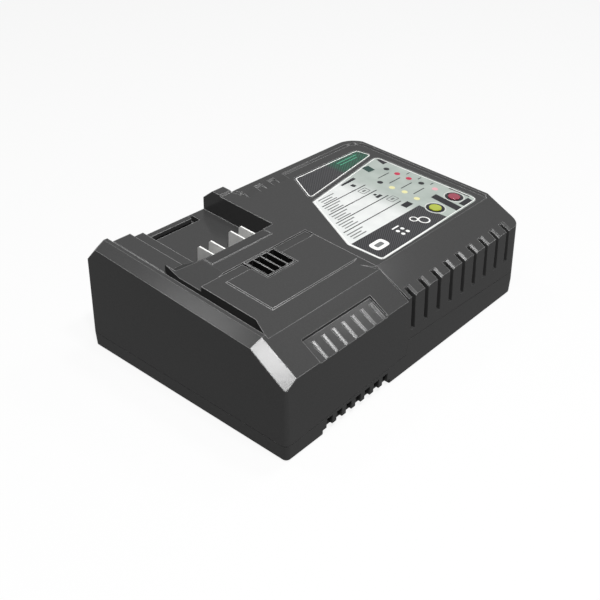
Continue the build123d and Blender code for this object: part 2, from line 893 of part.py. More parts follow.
with BuildPart() as lower_housing:
    add(outer_form)
    add(under_seam, mode=Mode.INTERSECT)
    add(inner_form, mode=Mode.SUBTRACT)
    add(tongue.part)
    # bosses for the shell screws, standoffs for the board and pillars for the fan
    with BuildSketch(Plane.XY.offset(shell_bottom)):
        with Locations(*shell_screw_points):
            Circle(shell_screw_head + screw_clearance + wall / 2)
    extrude(amount=post_bottom - seam_gap - shell_bottom)
    with BuildSketch(Plane.XY.offset(shell_bottom)):
        with Locations(*standoff_points):
            Circle(standoff_radius)
    extrude(amount=board_height - shell_bottom)
    with BuildSketch(Plane.XY.offset(shell_bottom)):
        with Locations(*pillar_points):
            Circle(pillar_radius)
    extrude(amount=fan_bottom - shell_bottom)
    with BuildSketch(Plane.XY):
        with Locations(*shell_screw_points):
            Circle(shell_screw_head + screw_clearance)
    extrude(amount=shell_screw_seat, mode=Mode.SUBTRACT)
    with BuildSketch(Plane.XY):
        with Locations(*shell_screw_points):
            Circle(shell_screw_radius + screw_clearance)
    extrude(amount=deck_height, mode=Mode.SUBTRACT)
    with BuildSketch(Plane.XY.offset(board_height)):
        with Locations(*standoff_points):
            Circle(board_screw_radius + screw_clearance / 2)
    extrude(amount=-board_screw_length, mode=Mode.SUBTRACT)
    with BuildSketch(Plane.XY.offset(fan_bottom)):
        with Locations(*pillar_points):
            Circle(fan_screw_radius + screw_clearance / 2)
    extrude(amount=-fan_screw_grip - screw_tip_gap, mode=Mode.SUBTRACT)
    # pockets for the feet
    with BuildSketch(Plane.XY):
        with Locations(*foot_points):
            Circle(foot_radius + foot_clearance)
    extrude(amount=foot_height, mode=Mode.SUBTRACT)
    # low vents on both sides, over a lifted edge on the user's side
    for i in range(low_vent_count):
        with BuildSketch(Plane.XY.offset(low_vent_bottom)):
            area(-width, width, low_vent_first + i * low_vent_pitch - low_vent_width / 2,
                 low_vent_first + i * low_vent_pitch + low_vent_width / 2)
            area(low_vent_reach - width / 2, width / 2 - low_vent_reach, 0, length / 2, mode=Mode.SUBTRACT)
        extrude(amount=low_vent_top - low_vent_bottom, mode=Mode.SUBTRACT)
    low_vent_last = low_vent_first + (low_vent_count - 1) * low_vent_pitch
    with BuildSketch(Plane.XY):
        area(width / 2 - wall - cut_through, width, low_vent_first - low_relief_margin - low_vent_width / 2,
             low_vent_last + low_relief_margin + low_vent_width / 2)
    extrude(amount=low_vent_bottom, mode=Mode.SUBTRACT)

with BuildPart() as rubber_feet:
    with BuildSketch(Plane.XY):
        with Locations(*foot_points):
            Circle(foot_radius)
    extrude(amount=foot_height)
    chamfer(rubber_feet.edges().group_by(Axis.Z)[0], foot_chamfer)

with BuildPart() as housing_screws:
    with BuildSketch(Plane.XY.offset(shell_screw_seat - shell_screw_head_height)):
        with Locations(*shell_screw_points):
            Circle(shell_screw_head)
    extrude(amount=shell_screw_head_height)
    with BuildSketch(Plane.XY.offset(shell_screw_seat)):
        with Locations(*shell_screw_points):
            Circle(shell_screw_radius)
    extrude(amount=shell_screw_length)
    with BuildSketch(Plane.XY.offset(shell_screw_seat - shell_screw_head_height)):
        with Locations(*shell_screw_points):
            Rectangle(driver_reach, driver_width)
            Rectangle(driver_width, driver_reach)
    extrude(amount=driver_depth, mode=Mode.SUBTRACT)

# Terminal block, contact blades and the board they are soldered to
contact_rows = power_rows + signal_rows
contact_top = bay_depth + wall + contact_drop
blade_back_x = bay_right + blade_root

with BuildPart() as terminal_block:
    with BuildSketch(deck.offset(-bay_depth)):
        area(bay_right, block_right, block_front, block_back)
    extrude(amount=bay_depth)
    chamfer(terminal_block.faces().sort_by(Axis.Z)[-1].edges(), block_chamfer)
    with BuildSketch(deck.offset(-bay_depth)):
        for row in contact_rows:
            area(bay_right - 1, blade_back_x + blade_fit, row - blade_thickness / 2 - blade_fit,
                 row + blade_thickness / 2 + blade_fit)
    extrude(amount=bay_depth - blade_top + blade_fit, mode=Mode.SUBTRACT)


def contact_blades(rows):
    """Upright blades that reach into the bay, each with a tail down to the contact board."""
    tail_end = contact_top + contact_thickness + tail_overhang
    with BuildPart(mode=Mode.PRIVATE) as blades:
        for row in rows:
            with BuildSketch(deck_section(row).offset(-blade_thickness / 2)):
                Polygon(
                    (blade_left, -blade_bottom),
                    (blade_left, -blade_top - blade_chamfer),
                    (blade_left + blade_chamfer, -blade_top),
                    (blade_back_x, -blade_top),
                    (blade_back_x, -tail_end),
                    (blade_back_x - tail_width, -tail_end),
                    (blade_back_x - tail_width, -blade_bottom),
                    align=None,
                )
            extrude(amount=blade_thickness)
    return blades.part


with BuildPart() as power_blades:
    add(contact_blades(power_rows))

with BuildPart() as signal_blades:
    add(contact_blades(signal_rows))

with BuildPart() as contact_board:
    with BuildSketch(deck.offset(-contact_top - contact_thickness)):
        area(contact_left, contact_right, block_front - contact_margin, block_back + contact_margin)
        for row in contact_rows:
            hole_half = blade_thickness / 2 + tail_clearance / 2
            area(blade_back_x - tail_width - tail_clearance / 2, blade_back_x + tail_clearance / 2,
                 row - hole_half, row + hole_half, mode=Mode.SUBTRACT)
        with Locations(*contact_posts):
            Circle(small_screw_radius + screw_clearance / 2, mode=Mode.SUBTRACT)
    extrude(amount=contact_thickness)

with BuildPart() as contact_screws:
    with BuildSketch(deck.offset(-contact_top - contact_thickness - small_screw_head_height)):
        with Locations(*contact_posts):
            Circle(small_screw_head)
    extrude(amount=small_screw_head_height)
    with BuildSketch(deck.offset(-contact_top - contact_thickness)):
        with Locations(*contact_posts):
            Circle(small_screw_radius - thread_fit)
    extrude(amount=contact_thickness + contact_drop)

# Air grille
slot_margin = grille_rim + grille_clearance + grille_skirt_wall
slot_width = (grille_width - 2 * slot_margin - (grille_slots - 1) * grille_rib) / grille_slots

with BuildPart() as vent_grille:
    with BuildSketch(deck.offset(-grille_seat)):
        area(grille_left, grille_right, grille_front, grille_back)
    extrude(amount=grille_seat + grille_top)
    chamfer(vent_grille.faces().sort_by(Axis.Z)[-1].edges(), grille_chamfer)
    with BuildSketch(deck.offset(-grille_seat - grille_skirt)):
        area(grille_left + grille_rim + grille_clearance, grille_right - grille_rim - grille_clearance,
             grille_front + grille_rim + grille_clearance, grille_back - grille_rim - grille_clearance)
    extrude(amount=grille_skirt)
    with BuildSketch(deck.offset(-grille_seat - grille_skirt)):
        for i in range(grille_slots):
            slot_front = grille_front + slot_margin + i * (slot_width + grille_rib)
            area(grille_left + slot_margin, grille_right - slot_margin, slot_front, slot_front + slot_width)
    extrude(amount=grille_seat + grille_skirt + grille_top, mode=Mode.SUBTRACT)

# Fan: frame with its motor plate, coil and rotor
fan_centre = (fan_x, from_front(fan_back))
bearing_top = fan_bottom + motor_plate + bearing_height
cup_bottom = fan_bottom + motor_plate + cup_gap
cup_top = fan_bottom + fan_height - cup_recess
coil_radius = hub_radius - hub_wall - coil_gap

with BuildPart() as fan_frame:
    with BuildSketch(Plane.XY.offset(fan_bottom)):
        with Locations(fan_centre):
            RectangleRounded(fan_size, fan_size, fan_corner)
            Circle(fan_bore, mode=Mode.SUBTRACT)
        with Locations(*pillar_points):
            Circle(fan_hole, mode=Mode.SUBTRACT)
    extrude(amount=fan_height)
    with BuildSketch(Plane.XY.offset(fan_bottom)):
        with Locations(fan_centre):
            Circle(motor_radius)
            with PolarLocations((motor_radius + fan_bore) / 2, fan_struts, start_angle=180 / fan_struts):
                Rectangle(fan_bore - motor_radius + 2, strut_width)
    extrude(amount=motor_plate)
    with BuildSketch(Plane.XY.offset(fan_bottom + motor_plate)):
        with Locations(fan_centre):
            Circle(bearing_outer)
    extrude(amount=bearing_top - fan_bottom - motor_plate)
    with BuildSketch(Plane.XY.offset(fan_bottom + motor_plate)):
        with Locations(fan_centre):
            Circle(shaft_radius + running_fit)
    extrude(amount=bearing_top - fan_bottom - motor_plate, mode=Mode.SUBTRACT)

with BuildPart() as fan_coil:
    with BuildSketch(Plane.XY.offset(fan_bottom + motor_plate)):
        with Locations(fan_centre):
            Circle(coil_radius)
            Circle(bearing_outer, mode=Mode.SUBTRACT)
            with PolarLocations(coil_radius, fan_coils):
                Rectangle(*coil_notch, mode=Mode.SUBTRACT)
    extrude(amount=bearing_height - coil_drop)

with BuildPart() as fan_rotor:
    with BuildSketch(Plane.XY.offset(cup_bottom)):
        with Locations(fan_centre):
            Circle(hub_radius)
    extrude(amount=cup_top - cup_bottom)
    with BuildSketch(Plane.XY.offset(cup_bottom)):
        with Locations(fan_centre):
            Circle(hub_radius - hub_wall)
    extrude(amount=bearing_top + axial_gap - cup_bottom, mode=Mode.SUBTRACT)
    with BuildSketch(Plane.XY.offset(fan_bottom + motor_plate + axial_gap)):
        with Locations(fan_centre):
            Circle(shaft_radius)
    extrude(amount=bearing_top + 1 - fan_bottom - motor_plate - axial_gap)
    with Locations((*fan_centre, (cup_bottom + cup_top) / 2)):
        with PolarLocations((hub_radius + fan_bore - blade_tip_gap) / 2, fan_blades):
            Box(fan_bore - hub_radius + 1, fan_blade_thickness, fan_blade_chord,
                rotation=(fan_blade_pitch - 90, 0, 0))
    with BuildSketch(Plane.XY.offset(cup_bottom)):
        with Locations(fan_centre):
            Circle(fan_bore - blade_tip_gap)
    extrude(amount=cup_top - cup_bottom, mode=Mode.INTERSECT)
    with BuildSketch(Plane.XY.offset(fan_bottom + motor_plate + axial_gap)):
        with Locations(fan_centre):
            Circle(shaft_radius)
    extrude(amount=bearing_top + 1 - fan_bottom - motor_plate - axial_gap)

# Duct from the fan up to the grille
duct_bottom = fan_bottom + fan_height
grille_centre = (grille_left + grille_length / 2, from_front(grille_front + grille_width / 2))
mouth_length = grille_length - 2 * grille_rim + 2 * mouth_margin
mouth_width = grille_width - 2 * grille_rim + 2 * mouth_margin
duct_mouth = deck.offset(-platform_drop - wall)

with BuildPart() as air_duct:
    with BuildSketch(Plane.XY.offset(duct_bottom + duct_flange)):
        with Locations(fan_centre):
            Circle(fan_bore + duct_wall)
    with BuildSketch(duct_mouth):
        with Locations(grille_centre):
            RectangleRounded(mouth_length + 2 * duct_wall, mouth_width + 2 * duct_wall, 2)
    loft()
    with BuildSketch(Plane.XY.offset(duct_bottom)):
        with Locations(fan_centre):
            RectangleRounded(fan_size, fan_size, fan_corner)
        with Locations(*pillar_points):
            Circle(fan_hole, mode=Mode.SUBTRACT)
    extrude(amount=duct_flange)
    with BuildSketch(Plane.XY.offset(duct_bottom)):
        with Locations(fan_centre):
            Circle(fan_bore)
    extrude(amount=duct_flange, mode=Mode.SUBTRACT)
    with BuildSketch(Plane.XY.offset(duct_bottom + duct_flange)):
        with Locations(fan_centre):
            Circle(fan_bore)
    with BuildSketch(duct_mouth):
        with Locations(grille_centre):
            RectangleRounded(mouth_length, mouth_width, 1)
    loft(mode=Mode.SUBTRACT)

with BuildPart() as fan_screws:
    with BuildSketch(Plane.XY.offset(fan_bottom - fan_screw_grip)):
        with Locations(*pillar_points):
            Circle(fan_screw_radius)
    extrude(amount=fan_screw_grip + fan_height + duct_flange)
    with BuildSketch(Plane.XY.offset(duct_bottom + duct_flange)):
        with Locations(*pillar_points):
            Circle(fan_screw_head)
    extrude(amount=fan_screw_head_height)

# Main board and the parts soldered to it
board_top = board_height + board_thickness


def on_board(x, back):
    """Location on the top of the main board."""
    return (x, from_front(back))


with BuildPart() as main_board:
    with BuildSketch(Plane.XY.offset(board_height)):
        area(board_left, board_right, board_front, board_back)
        with Locations(*standoff_points):
            Circle(board_screw_radius + screw_clearance / 2, mode=Mode.SUBTRACT)
    extrude(amount=board_thickness)

with BuildPart() as board_screws:
    with BuildSketch(Plane.XY.offset(board_top - board_screw_length)):
        with Locations(*standoff_points):
            Circle(board_screw_radius)
    extrude(amount=board_screw_length)
    with BuildSketch(Plane.XY.offset(board_top)):
        with Locations(*standoff_points):
            Circle(board_screw_head)
    extrude(amount=board_screw_head_height)


# Transformer: a core with two windows, a bobbin round its middle leg and the winding on it
core_bottom = board_top + core_lift
window_height = core_height - 2 * core_leg
window_width = (core_width - 2 * core_leg - core_middle) / 2
core_centre_height = core_bottom + core_height / 2
bobbin_width = core_middle + 2 * window_width - 2 * bobbin_gap
bobbin_foot_offset = (core_length + window_width) / 2 + bobbin_gap

with BuildPart() as transformer_core:
    with BuildSketch(Plane.XZ.offset(-from_front(transformer_back) - core_length / 2)):
        with Locations((transformer_x, core_centre_height)):
            Rectangle(core_width, core_height)
        with Locations((transformer_x - (core_middle + window_width) / 2, core_centre_height),
                       (transformer_x + (core_middle + window_width) / 2, core_centre_height)):
            Rectangle(window_width, window_height, mode=Mode.SUBTRACT)
    extrude(amount=core_length)

with BuildPart() as transformer_bobbin:
    for level in (core_bottom + core_leg, core_bottom + core_leg + window_height - bobbin_flange):
        with BuildSketch(Plane.XY.offset(level)):
            with Locations(on_board(transformer_x, transformer_back)):
                Rectangle(bobbin_width, core_length + 2 * window_width)
                Rectangle(core_middle + bobbin_gap, core_length + bobbin_gap, mode=Mode.SUBTRACT)
        extrude(amount=bobbin_flange)
    with BuildSketch(Plane.XY.offset(core_bottom + core_leg)):
        with Locations(on_board(transformer_x, transformer_back)):
            Rectangle(core_middle + 2 * bobbin_flange, core_length + 2 * bobbin_flange)
            Rectangle(core_middle + bobbin_gap, core_length + bobbin_gap, mode=Mode.SUBTRACT)
    extrude(amount=window_height)
    with BuildSketch(Plane.XY.offset(board_top)):
        with Locations((transformer_x, from_front(transformer_back) - bobbin_foot_offset),
                       (transformer_x, from_front(transformer_back) + bobbin_foot_offset)):
            Rectangle(bobbin_width, window_width)
    extrude(amount=core_lift + core_leg)

with BuildPart() as transformer_winding:
    with BuildSketch(Plane.XY.offset(core_bottom + core_leg + bobbin_flange)):
        with Locations(on_board(transformer_x, transformer_back)):
            RectangleRounded(core_middle + 2 * window_width - bobbin_flange,
                             core_length + 2 * window_width - bobbin_flange, winding_corner)
            Rectangle(core_middle + 2 * bobbin_flange, core_length + 2 * bobbin_flange, mode=Mode.SUBTRACT)
    extrude(amount=window_height - 2 * bobbin_flange)

# Line filter choke: a ring core with a winding on each side, on a small base
with BuildPart() as choke_core:
    with BuildSketch(Plane.XY.offset(board_top + choke_base)):
        with Locations(on_board(choke_x, choke_back)):
            Circle(choke_radius)
            Circle(choke_radius - choke_section, mode=Mode.SUBTRACT)
    extrude(amount=choke_height)

with BuildPart() as choke_windings:
    with BuildSketch(Plane.XY.offset(board_top)):
        with Locations(on_board(choke_x - choke_radius + choke_section / 2, choke_back),
                       on_board(choke_x + choke_radius - choke_section / 2, choke_back)):
            RectangleRounded(choke_section + 2 * choke_base, 2 * choke_section, choke_base)
    extrude(amount=choke_height + 2 * choke_base)
    add(choke_core.part, mode=Mode.SUBTRACT)

with BuildPart() as primary_capacitor:
    with BuildSketch(Plane.XY.offset(board_top)):
        with Locations(on_board(*primary_capacitor_at)):
            Circle(primary_capacitor_radius)
    extrude(amount=primary_capacitor_height)
    fillet(primary_capacitor.edges(), small_round)

with BuildPart() as output_capacitors:
    with BuildSketch(Plane.XY.offset(board_top)):
        with Locations(*[on_board(x, back) for x, back in output_capacitors_at]):
            Circle(output_capacitor_radius)
    extrude(amount=output_capacitor_height)
    fillet(output_capacitors.edges(), small_round)

with BuildPart() as safety_capacitor:
    with BuildSketch(Plane.XY.offset(board_top)):
        with Locations(on_board(*safety_capacitor_at)):
            Rectangle(*safety_capacitor_plan)
    extrude(amount=safety_capacitor_height)
    fillet(safety_capacitor.edges().filter_by(Axis.Z), small_round)

with BuildPart() as bridge_rectifier:
    with BuildSketch(Plane.XY.offset(board_top)):
        with Locations(on_board(*bridge_at)):
            Rectangle(*bridge_plan)
    extrude(amount=bridge_height)

with BuildPart() as fuse:
    with BuildSketch(Plane.YZ.offset(fuse_at[0] - fuse_length / 2)):
        with Locations((from_front(fuse_at[1]), board_top + fuse_lift)):
            Circle(fuse_radius)
    extrude(amount=fuse_length)

with BuildPart() as fuse_clips:
    with BuildSketch(Plane.XY.offset(board_top)):
        with Locations(on_board(fuse_at[0] - (fuse_length - clip_length) / 2, fuse_at[1]),
                       on_board(fuse_at[0] + (fuse_length - clip_length) / 2, fuse_at[1])):
            Rectangle(clip_length, 2 * (fuse_radius + clip_wall))
    extrude(amount=fuse_lift + 1)
    add(fuse.part, mode=Mode.SUBTRACT)


def heat_sink(x, back, fin_side):
    """Upright plate with fins towards fin_side, standing on the main board."""
    with BuildPart(mode=Mode.PRIVATE) as sink:
        with BuildSketch(Plane.XY.offset(board_top)):
            with Locations(on_board(x, back)):
                Rectangle(sink_plate, sink_length)
            for i in range(sink_fins):
                fin_y = from_front(back) + (i / (sink_fins - 1) - 0.5) * (sink_length - sink_fin)
                with Locations((x + fin_side * sink_fin_reach / 2, fin_y)):
                    Rectangle(sink_fin_reach, sink_fin)
        extrude(amount=sink_height)
    return sink.part


def transistors(x, back, side):
    """Two power transistors that stand against the plain face of a heat sink."""
    body_x = x + side * (sink_plate + transistor_thickness) / 2
    centres = [from_front(back) + end * transistor_pitch / 2 for end in (-1, 1)]
    with BuildPart(mode=Mode.PRIVATE) as pair:
        with BuildSketch(Plane.XY.offset(board_top + transistor_legs)):
            with Locations(*[(body_x, y) for y in centres]):
                Rectangle(transistor_thickness, transistor_width)
        extrude(amount=transistor_height)
        with BuildSketch(Plane.XY.offset(board_top)):
            with Locations(*[(body_x, y + i * leg_pitch) for y in centres for i in (-1, 0, 1)]):
                Rectangle(*leg_plan)
        extrude(amount=transistor_legs + leg_plan[0])
    return pair.part


with BuildPart() as input_heat_sink:
    add(heat_sink(*input_sink_at, -1))

with BuildPart() as output_heat_sink:
    add(heat_sink(*output_sink_at, 1))

with BuildPart() as power_transistors:
    add(transistors(*input_sink_at, 1))

with BuildPart() as output_diodes:
    add(transistors(*output_sink_at, -1))

with BuildPart() as output_inductor:
    with BuildSketch(Plane.XY.offset(board_top)):
        with Locations(on_board(*inductor_at)):
            Circle(inductor_radius)
            Circle(inductor_bore, mode=Mode.SUBTRACT)
    extrude(amount=inductor_height)
    fillet(output_inductor.edges(), inductor_round)

with BuildPart() as control_chip:
    with BuildSketch(Plane.XY.offset(board_top)):
        with Locations(on_board(*chip_at)):
            Rectangle(*chip_plan)
            leg_rows = chip_plan[1] + chip_leg[1] - chip_leg_height / 2
            with GridLocations(chip_leg_pitch, leg_rows, chip_legs, 2):
                Rectangle(*chip_leg)
    extrude(amount=chip_leg_height)
    with BuildSketch(Plane.XY.offset(board_top)):
        with Locations(on_board(*chip_at)):
            Rectangle(*chip_plan)
    extrude(amount=chip_height)

with BuildPart() as board_headers:
    with BuildSketch(Plane.XY.offset(board_top)):
        with Locations(*[on_board(x, lead_header_back) for x in lead_header_x]):
            Rectangle(header_length, header_width)
    extrude(amount=header_height)

# Leads that the charger holds from end to end
header_top = board_top + header_height


def lead(points, corner_share=0.45):
    """Round insulated lead through these points, with arcs as large as the runs allow."""
    runs = [(b - a).length for a, b in zip(points, points[1:])]
    radii = [corner_share * min(near, far) for near, far in zip(runs, runs[1:])]
    with BuildPart(mode=Mode.PRIVATE) as wire:
        with BuildLine() as path:
            FilletPolyline(*points, radius=radii)
        with BuildSketch(Plane(origin=points[0], z_dir=points[1] - points[0])):
            Circle(lead_radius)
        sweep(path=path.line)
    return wire.part


contact_underside = deck_height - contact_top - contact_thickness
with BuildPart() as battery_leads:
    for x in battery_lead_x:
        start = contact_underside - x * slope - lead_radius / 2
        add(lead([
            Vector(x, from_front(battery_lead_back), start),
            Vector(x, from_front(battery_lead_back), fan_bottom + battery_lead_rise),
            Vector(x, from_front(lead_header_back), fan_bottom + battery_lead_rise),
            Vector(x, from_front(lead_header_back), header_top),
        ]))

with BuildPart() as fan_lead:
    fan_rear = from_front(fan_back) + fan_size / 2
    for x in fan_lead_x:
        add(lead([
            Vector(x, fan_rear, fan_bottom + fan_lead_rise),
            Vector(x, from_front(lead_header_back), fan_bottom + fan_lead_rise),
            Vector(x, from_front(lead_header_back), header_top),
        ]))

# Mains inlet
with BuildPart() as mains_inlet:
    with BuildSketch(Plane.XZ.offset(-inlet_seat)):
        with Locations((inlet_x, inlet_height)):
            RectangleRounded(inlet_width, inlet_tall, inlet_corner)
    extrude(amount=inlet_depth)
    with BuildSketch(Plane.XZ.offset(-inlet_seat - inlet_flange_thickness)):
        with Locations((inlet_x, inlet_height)):
            RectangleRounded(inlet_width + 2 * inlet_flange, inlet_tall + 2 * inlet_flange,
                             inlet_corner + inlet_flange / 2)
    extrude(amount=inlet_flange_thickness)
    with BuildSketch(Plane.XZ.offset(-inlet_seat - inlet_flange_thickness)):
        with Locations((inlet_x, inlet_height)):
            SlotCenterToCenter(socket_pitch, 2 * socket_radius)
    extrude(amount=socket_depth, mode=Mode.SUBTRACT)
    with BuildSketch(Plane.XZ.offset(-inlet_seat)):
        with Locations(*pin_points):
            Circle(inlet_pin_radius + inlet_pin_fit)
    extrude(amount=inlet_depth, mode=Mode.SUBTRACT)

pin_back = inlet_seat - inlet_depth - inlet_pin_tail
with BuildPart() as inlet_pins:
    with BuildSketch(Plane.XZ.offset(-inlet_seat + 1)):
        with Locations(*pin_points):
            Circle(inlet_pin_radius)
    extrude(amount=inlet_seat - 1 - pin_back)

with BuildPart() as mains_leads:
    for side in (-1, 1):
        x = inlet_x + side * socket_pitch / 2
        add(lead([
            Vector(x, pin_back, inlet_height),
            Vector(x, pin_back - mains_lead_run, inlet_height),
            Vector(x, pin_back - mains_lead_run, board_top),
        ]))

# Label, lenses and the display board under them
with BuildPart() as label_header:
    with BuildSketch(deck.offset(-label_depth)):
        add(header_shape)
    extrude(amount=label_thickness)

with BuildPart() as label_panel:
    with BuildSketch(deck.offset(-label_depth)):
        add(panel_shape)
        with Locations(*lens_points):
            Circle(lens_radius + lens_clearance, mode=Mode.SUBTRACT)
    extrude(amount=label_thickness)


def lens(point):
    """Lamp window: a clear plug with a flange that seats under the deck."""
    with BuildPart(mode=Mode.PRIVATE) as plug:
        with BuildSketch(deck.offset(-wall - lens_flange_height - lens_seat_gap)):
            with Locations(point):
                Circle(lens_flange)
        extrude(amount=lens_flange_height)
        with BuildSketch(deck.offset(-display_drop + lamp_height + lamp_gap)):
            with Locations(point):
                Circle(lens_radius)
        extrude(amount=display_drop - lamp_height - lamp_gap + lens_proud)
        fillet(plug.edges().group_by(Axis.Z)[-1], lens_proud)
    return plug.part


def lamp(point):
    """Light-emitting diode with a domed top, standing on the display board."""
    with BuildPart(mode=Mode.PRIVATE) as diode:
        with BuildSketch(deck.offset(-display_drop)):
            with Locations(point):
                Circle(lamp_radius)
        extrude(amount=lamp_height)
        fillet(diode.edges().group_by(Axis.Z)[-1], lamp_radius / 2)
    return diode.part


with BuildPart() as red_lens:
    add(lens(lens_points[0]))

with BuildPart() as green_lens:
    add(lens(lens_points[1]))

with BuildPart() as red_lamp:
    add(lamp(lens_points[0]))

with BuildPart() as green_lamp:
    add(lamp(lens_points[1]))

with BuildPart() as display_board:
    with BuildSketch(deck.offset(-display_drop - display_thickness)):
        area(display_left, display_right, display_front, display_back)
        with Locations(*display_posts):
            Circle(small_screw_radius + screw_clearance / 2, mode=Mode.SUBTRACT)
    extrude(amount=display_thickness)

with BuildPart() as display_screws:
    with BuildSketch(deck.offset(-display_drop - display_thickness - small_screw_head_height)):
        with Locations(*display_posts):
            Circle(small_screw_head)
    extrude(amount=small_screw_head_height)
    with BuildSketch(deck.offset(-display_drop - display_thickness)):
        with Locations(*display_posts):
            Circle(small_screw_radius - thread_fit)
    extrude(amount=display_thickness + display_screw_grip)

# Flat ribbon from the display board down to its socket on the main board
ribbon_top = deck_height - display_drop - display_thickness - ribbon_x * slope
with BuildPart() as ribbon_socket:
    with BuildSketch(Plane.XY.offset(board_top)):
        with Locations(on_board(ribbon_x - ribbon_shift, ribbon_back)):
            Rectangle(socket_width, ribbon_width + socket_width)
    extrude(amount=socket_height)

with BuildPart() as display_ribbon:
    with BuildSketch(Plane.XZ.offset(-from_front(ribbon_back) - ribbon_width / 2)):
        with BuildLine():
            FilletPolyline(
                (ribbon_x, ribbon_top - ribbon_start_gap),
                (ribbon_x, ribbon_top - 2 * ribbon_bend),
                (ribbon_x - ribbon_shift, board_top + socket_height + 2.5 * ribbon_bend),
                (ribbon_x - ribbon_shift, board_top + socket_height),
                radius=ribbon_bend,
            )
        trace(line_width=ribbon_thickness)
    extrude(amount=ribbon_width)

pieces = {
    "upper_housing": upper_housing,
    "lower_housing": lower_housing,
    "rubber_feet": rubber_feet,
    "housing_screws": housing_screws,
    "terminal_block": terminal_block,
    "power_blades": power_blades,
    "signal_blades": signal_blades,
    "contact_board": contact_board,
    "contact_screws": contact_screws,
    "vent_grille": vent_grille,
    "air_duct": air_duct,
    "fan_frame": fan_frame,
    "fan_coil": fan_coil,
    "fan_rotor": fan_rotor,
    "fan_screws": fan_screws,
    "main_board": main_board,
    "board_screws": board_screws,
    "transformer_core": transformer_core,
    "transformer_bobbin": transformer_bobbin,
    "transformer_winding": transformer_winding,
    "choke_core": choke_core,
    "choke_windings": choke_windings,
    "primary_capacitor": primary_capacitor,
    "output_capacitors": output_capacitors,
    "safety_capacitor": safety_capacitor,
    "bridge_rectifier": bridge_rectifier,
    "fuse": fuse,
    "fuse_clips": fuse_clips,
    "input_heat_sink": input_heat_sink,
    "output_heat_sink": output_heat_sink,
    "power_transistors": power_transistors,
    "output_diodes": output_diodes,
    "output_inductor": output_inductor,
    "control_chip": control_chip,
    "board_headers": board_headers,
    "battery_leads": battery_leads,
    "fan_lead": fan_lead,
    "mains_inlet": mains_inlet,
    "inlet_pins": inlet_pins,
    "mains_leads": mains_leads,
    "label_header": label_header,
    "label_panel": label_panel,
    "red_lens": red_lens,
    "green_lens": green_lens,
    "red_lamp": red_lamp,
    "green_lamp": green_lamp,
    "display_board": display_board,
    "display_screws": display_screws,
    "ribbon_socket": ribbon_socket,
    "display_ribbon": display_ribbon,
}

for name, piece in pieces.items():
    piece.part.label = name
    export_step(piece.part, f"parts/{name}.step")
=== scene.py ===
# %% [markdown]
# A bench charger for slide-on tool batteries. The hard parts come from the CAD model, already in place and
# in metres. This file dresses them: it gives every part the finish of its real material, adds the printed
# label, and sets up a plain studio round the object. We load the frame first and keep its outer box.

# %% Load the frame
import bmesh
import bpy
import json
import numpy as np
from mathutils import Matrix, Vector


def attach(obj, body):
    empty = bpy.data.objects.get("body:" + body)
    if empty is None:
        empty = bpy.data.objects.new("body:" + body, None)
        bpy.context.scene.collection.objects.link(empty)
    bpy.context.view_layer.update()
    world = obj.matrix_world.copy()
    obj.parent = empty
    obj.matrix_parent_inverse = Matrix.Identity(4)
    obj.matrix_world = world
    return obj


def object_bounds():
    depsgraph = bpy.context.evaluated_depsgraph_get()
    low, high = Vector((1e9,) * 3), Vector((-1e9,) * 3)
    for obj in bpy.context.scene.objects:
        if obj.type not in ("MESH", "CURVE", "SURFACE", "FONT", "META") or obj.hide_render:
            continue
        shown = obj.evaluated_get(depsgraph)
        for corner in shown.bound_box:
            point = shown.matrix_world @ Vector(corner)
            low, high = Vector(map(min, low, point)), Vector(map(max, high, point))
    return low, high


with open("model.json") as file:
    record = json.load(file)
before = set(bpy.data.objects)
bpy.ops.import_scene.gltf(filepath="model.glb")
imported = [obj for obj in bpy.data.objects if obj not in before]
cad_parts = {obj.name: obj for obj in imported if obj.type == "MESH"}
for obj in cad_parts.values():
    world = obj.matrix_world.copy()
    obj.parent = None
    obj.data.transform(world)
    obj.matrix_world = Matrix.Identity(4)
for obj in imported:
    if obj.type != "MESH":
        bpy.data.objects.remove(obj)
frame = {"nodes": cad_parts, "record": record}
nodes = frame["nodes"]
cad_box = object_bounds()
print(len(nodes), "parts in the frame, outer box", cad_box)

# %% [markdown]
# Colours are easiest to read as the hex values of a paint chart, but Blender mixes light in linear numbers.
# One function turns the first into the second. Pattern sizes are given in millimetres, and a texture's
# scale is how many of its features fit into one metre.

# %% Colour and scale
MM = 0.001


def linear(code):
    """Linear colour of an sRGB hex code: each channel c becomes ((c + 0.055) / 1.055) ** 2.4."""
    channels = np.array([int(code[i:i + 2], 16) for i in (1, 3, 5)]) / 255
    low = channels / 12.92
    high = ((channels + 0.055) / 1.055) ** 2.4
    return (*np.where(channels <= 0.04045, low, high).tolist(), 1.0)


def per_metre(millimetres):
    """Texture scale whose features are this many millimetres wide."""
    return 1 / (millimetres * MM)


print("mid grey #808080 is", [round(v, 3) for v in linear("#808080")])

# %% [markdown]
# A material is a small graph of nodes. The one helper below adds a node, sets its values and joins its
# inputs, so that each finish can be read as a short list of steps. `start_finish` opens a new material and
# hands back its tree with the main shader.
#
# Sockets that share a name are given by number. A Map Range node maps the span from input 1 to input 2 onto
# the span from input 3 to input 4. A Mix node blends by input 0: numbers from input 2 to input 3 into
# output 0, and colours from input 6 to input 7 into output 2.

# %% Node helper
def add_node(tree, kind, settings=None, links=None):
    """Add a node; settings are its attributes or input values, links join its inputs to other outputs."""
    node = tree.nodes.new(kind)
    for key, value in (settings or {}).items():
        if isinstance(key, str) and hasattr(node, key):
            setattr(node, key, value)
        else:
            node.inputs[key].default_value = value
    for key, output in (links or {}).items():
        tree.links.new(output, node.inputs[key])
    return node


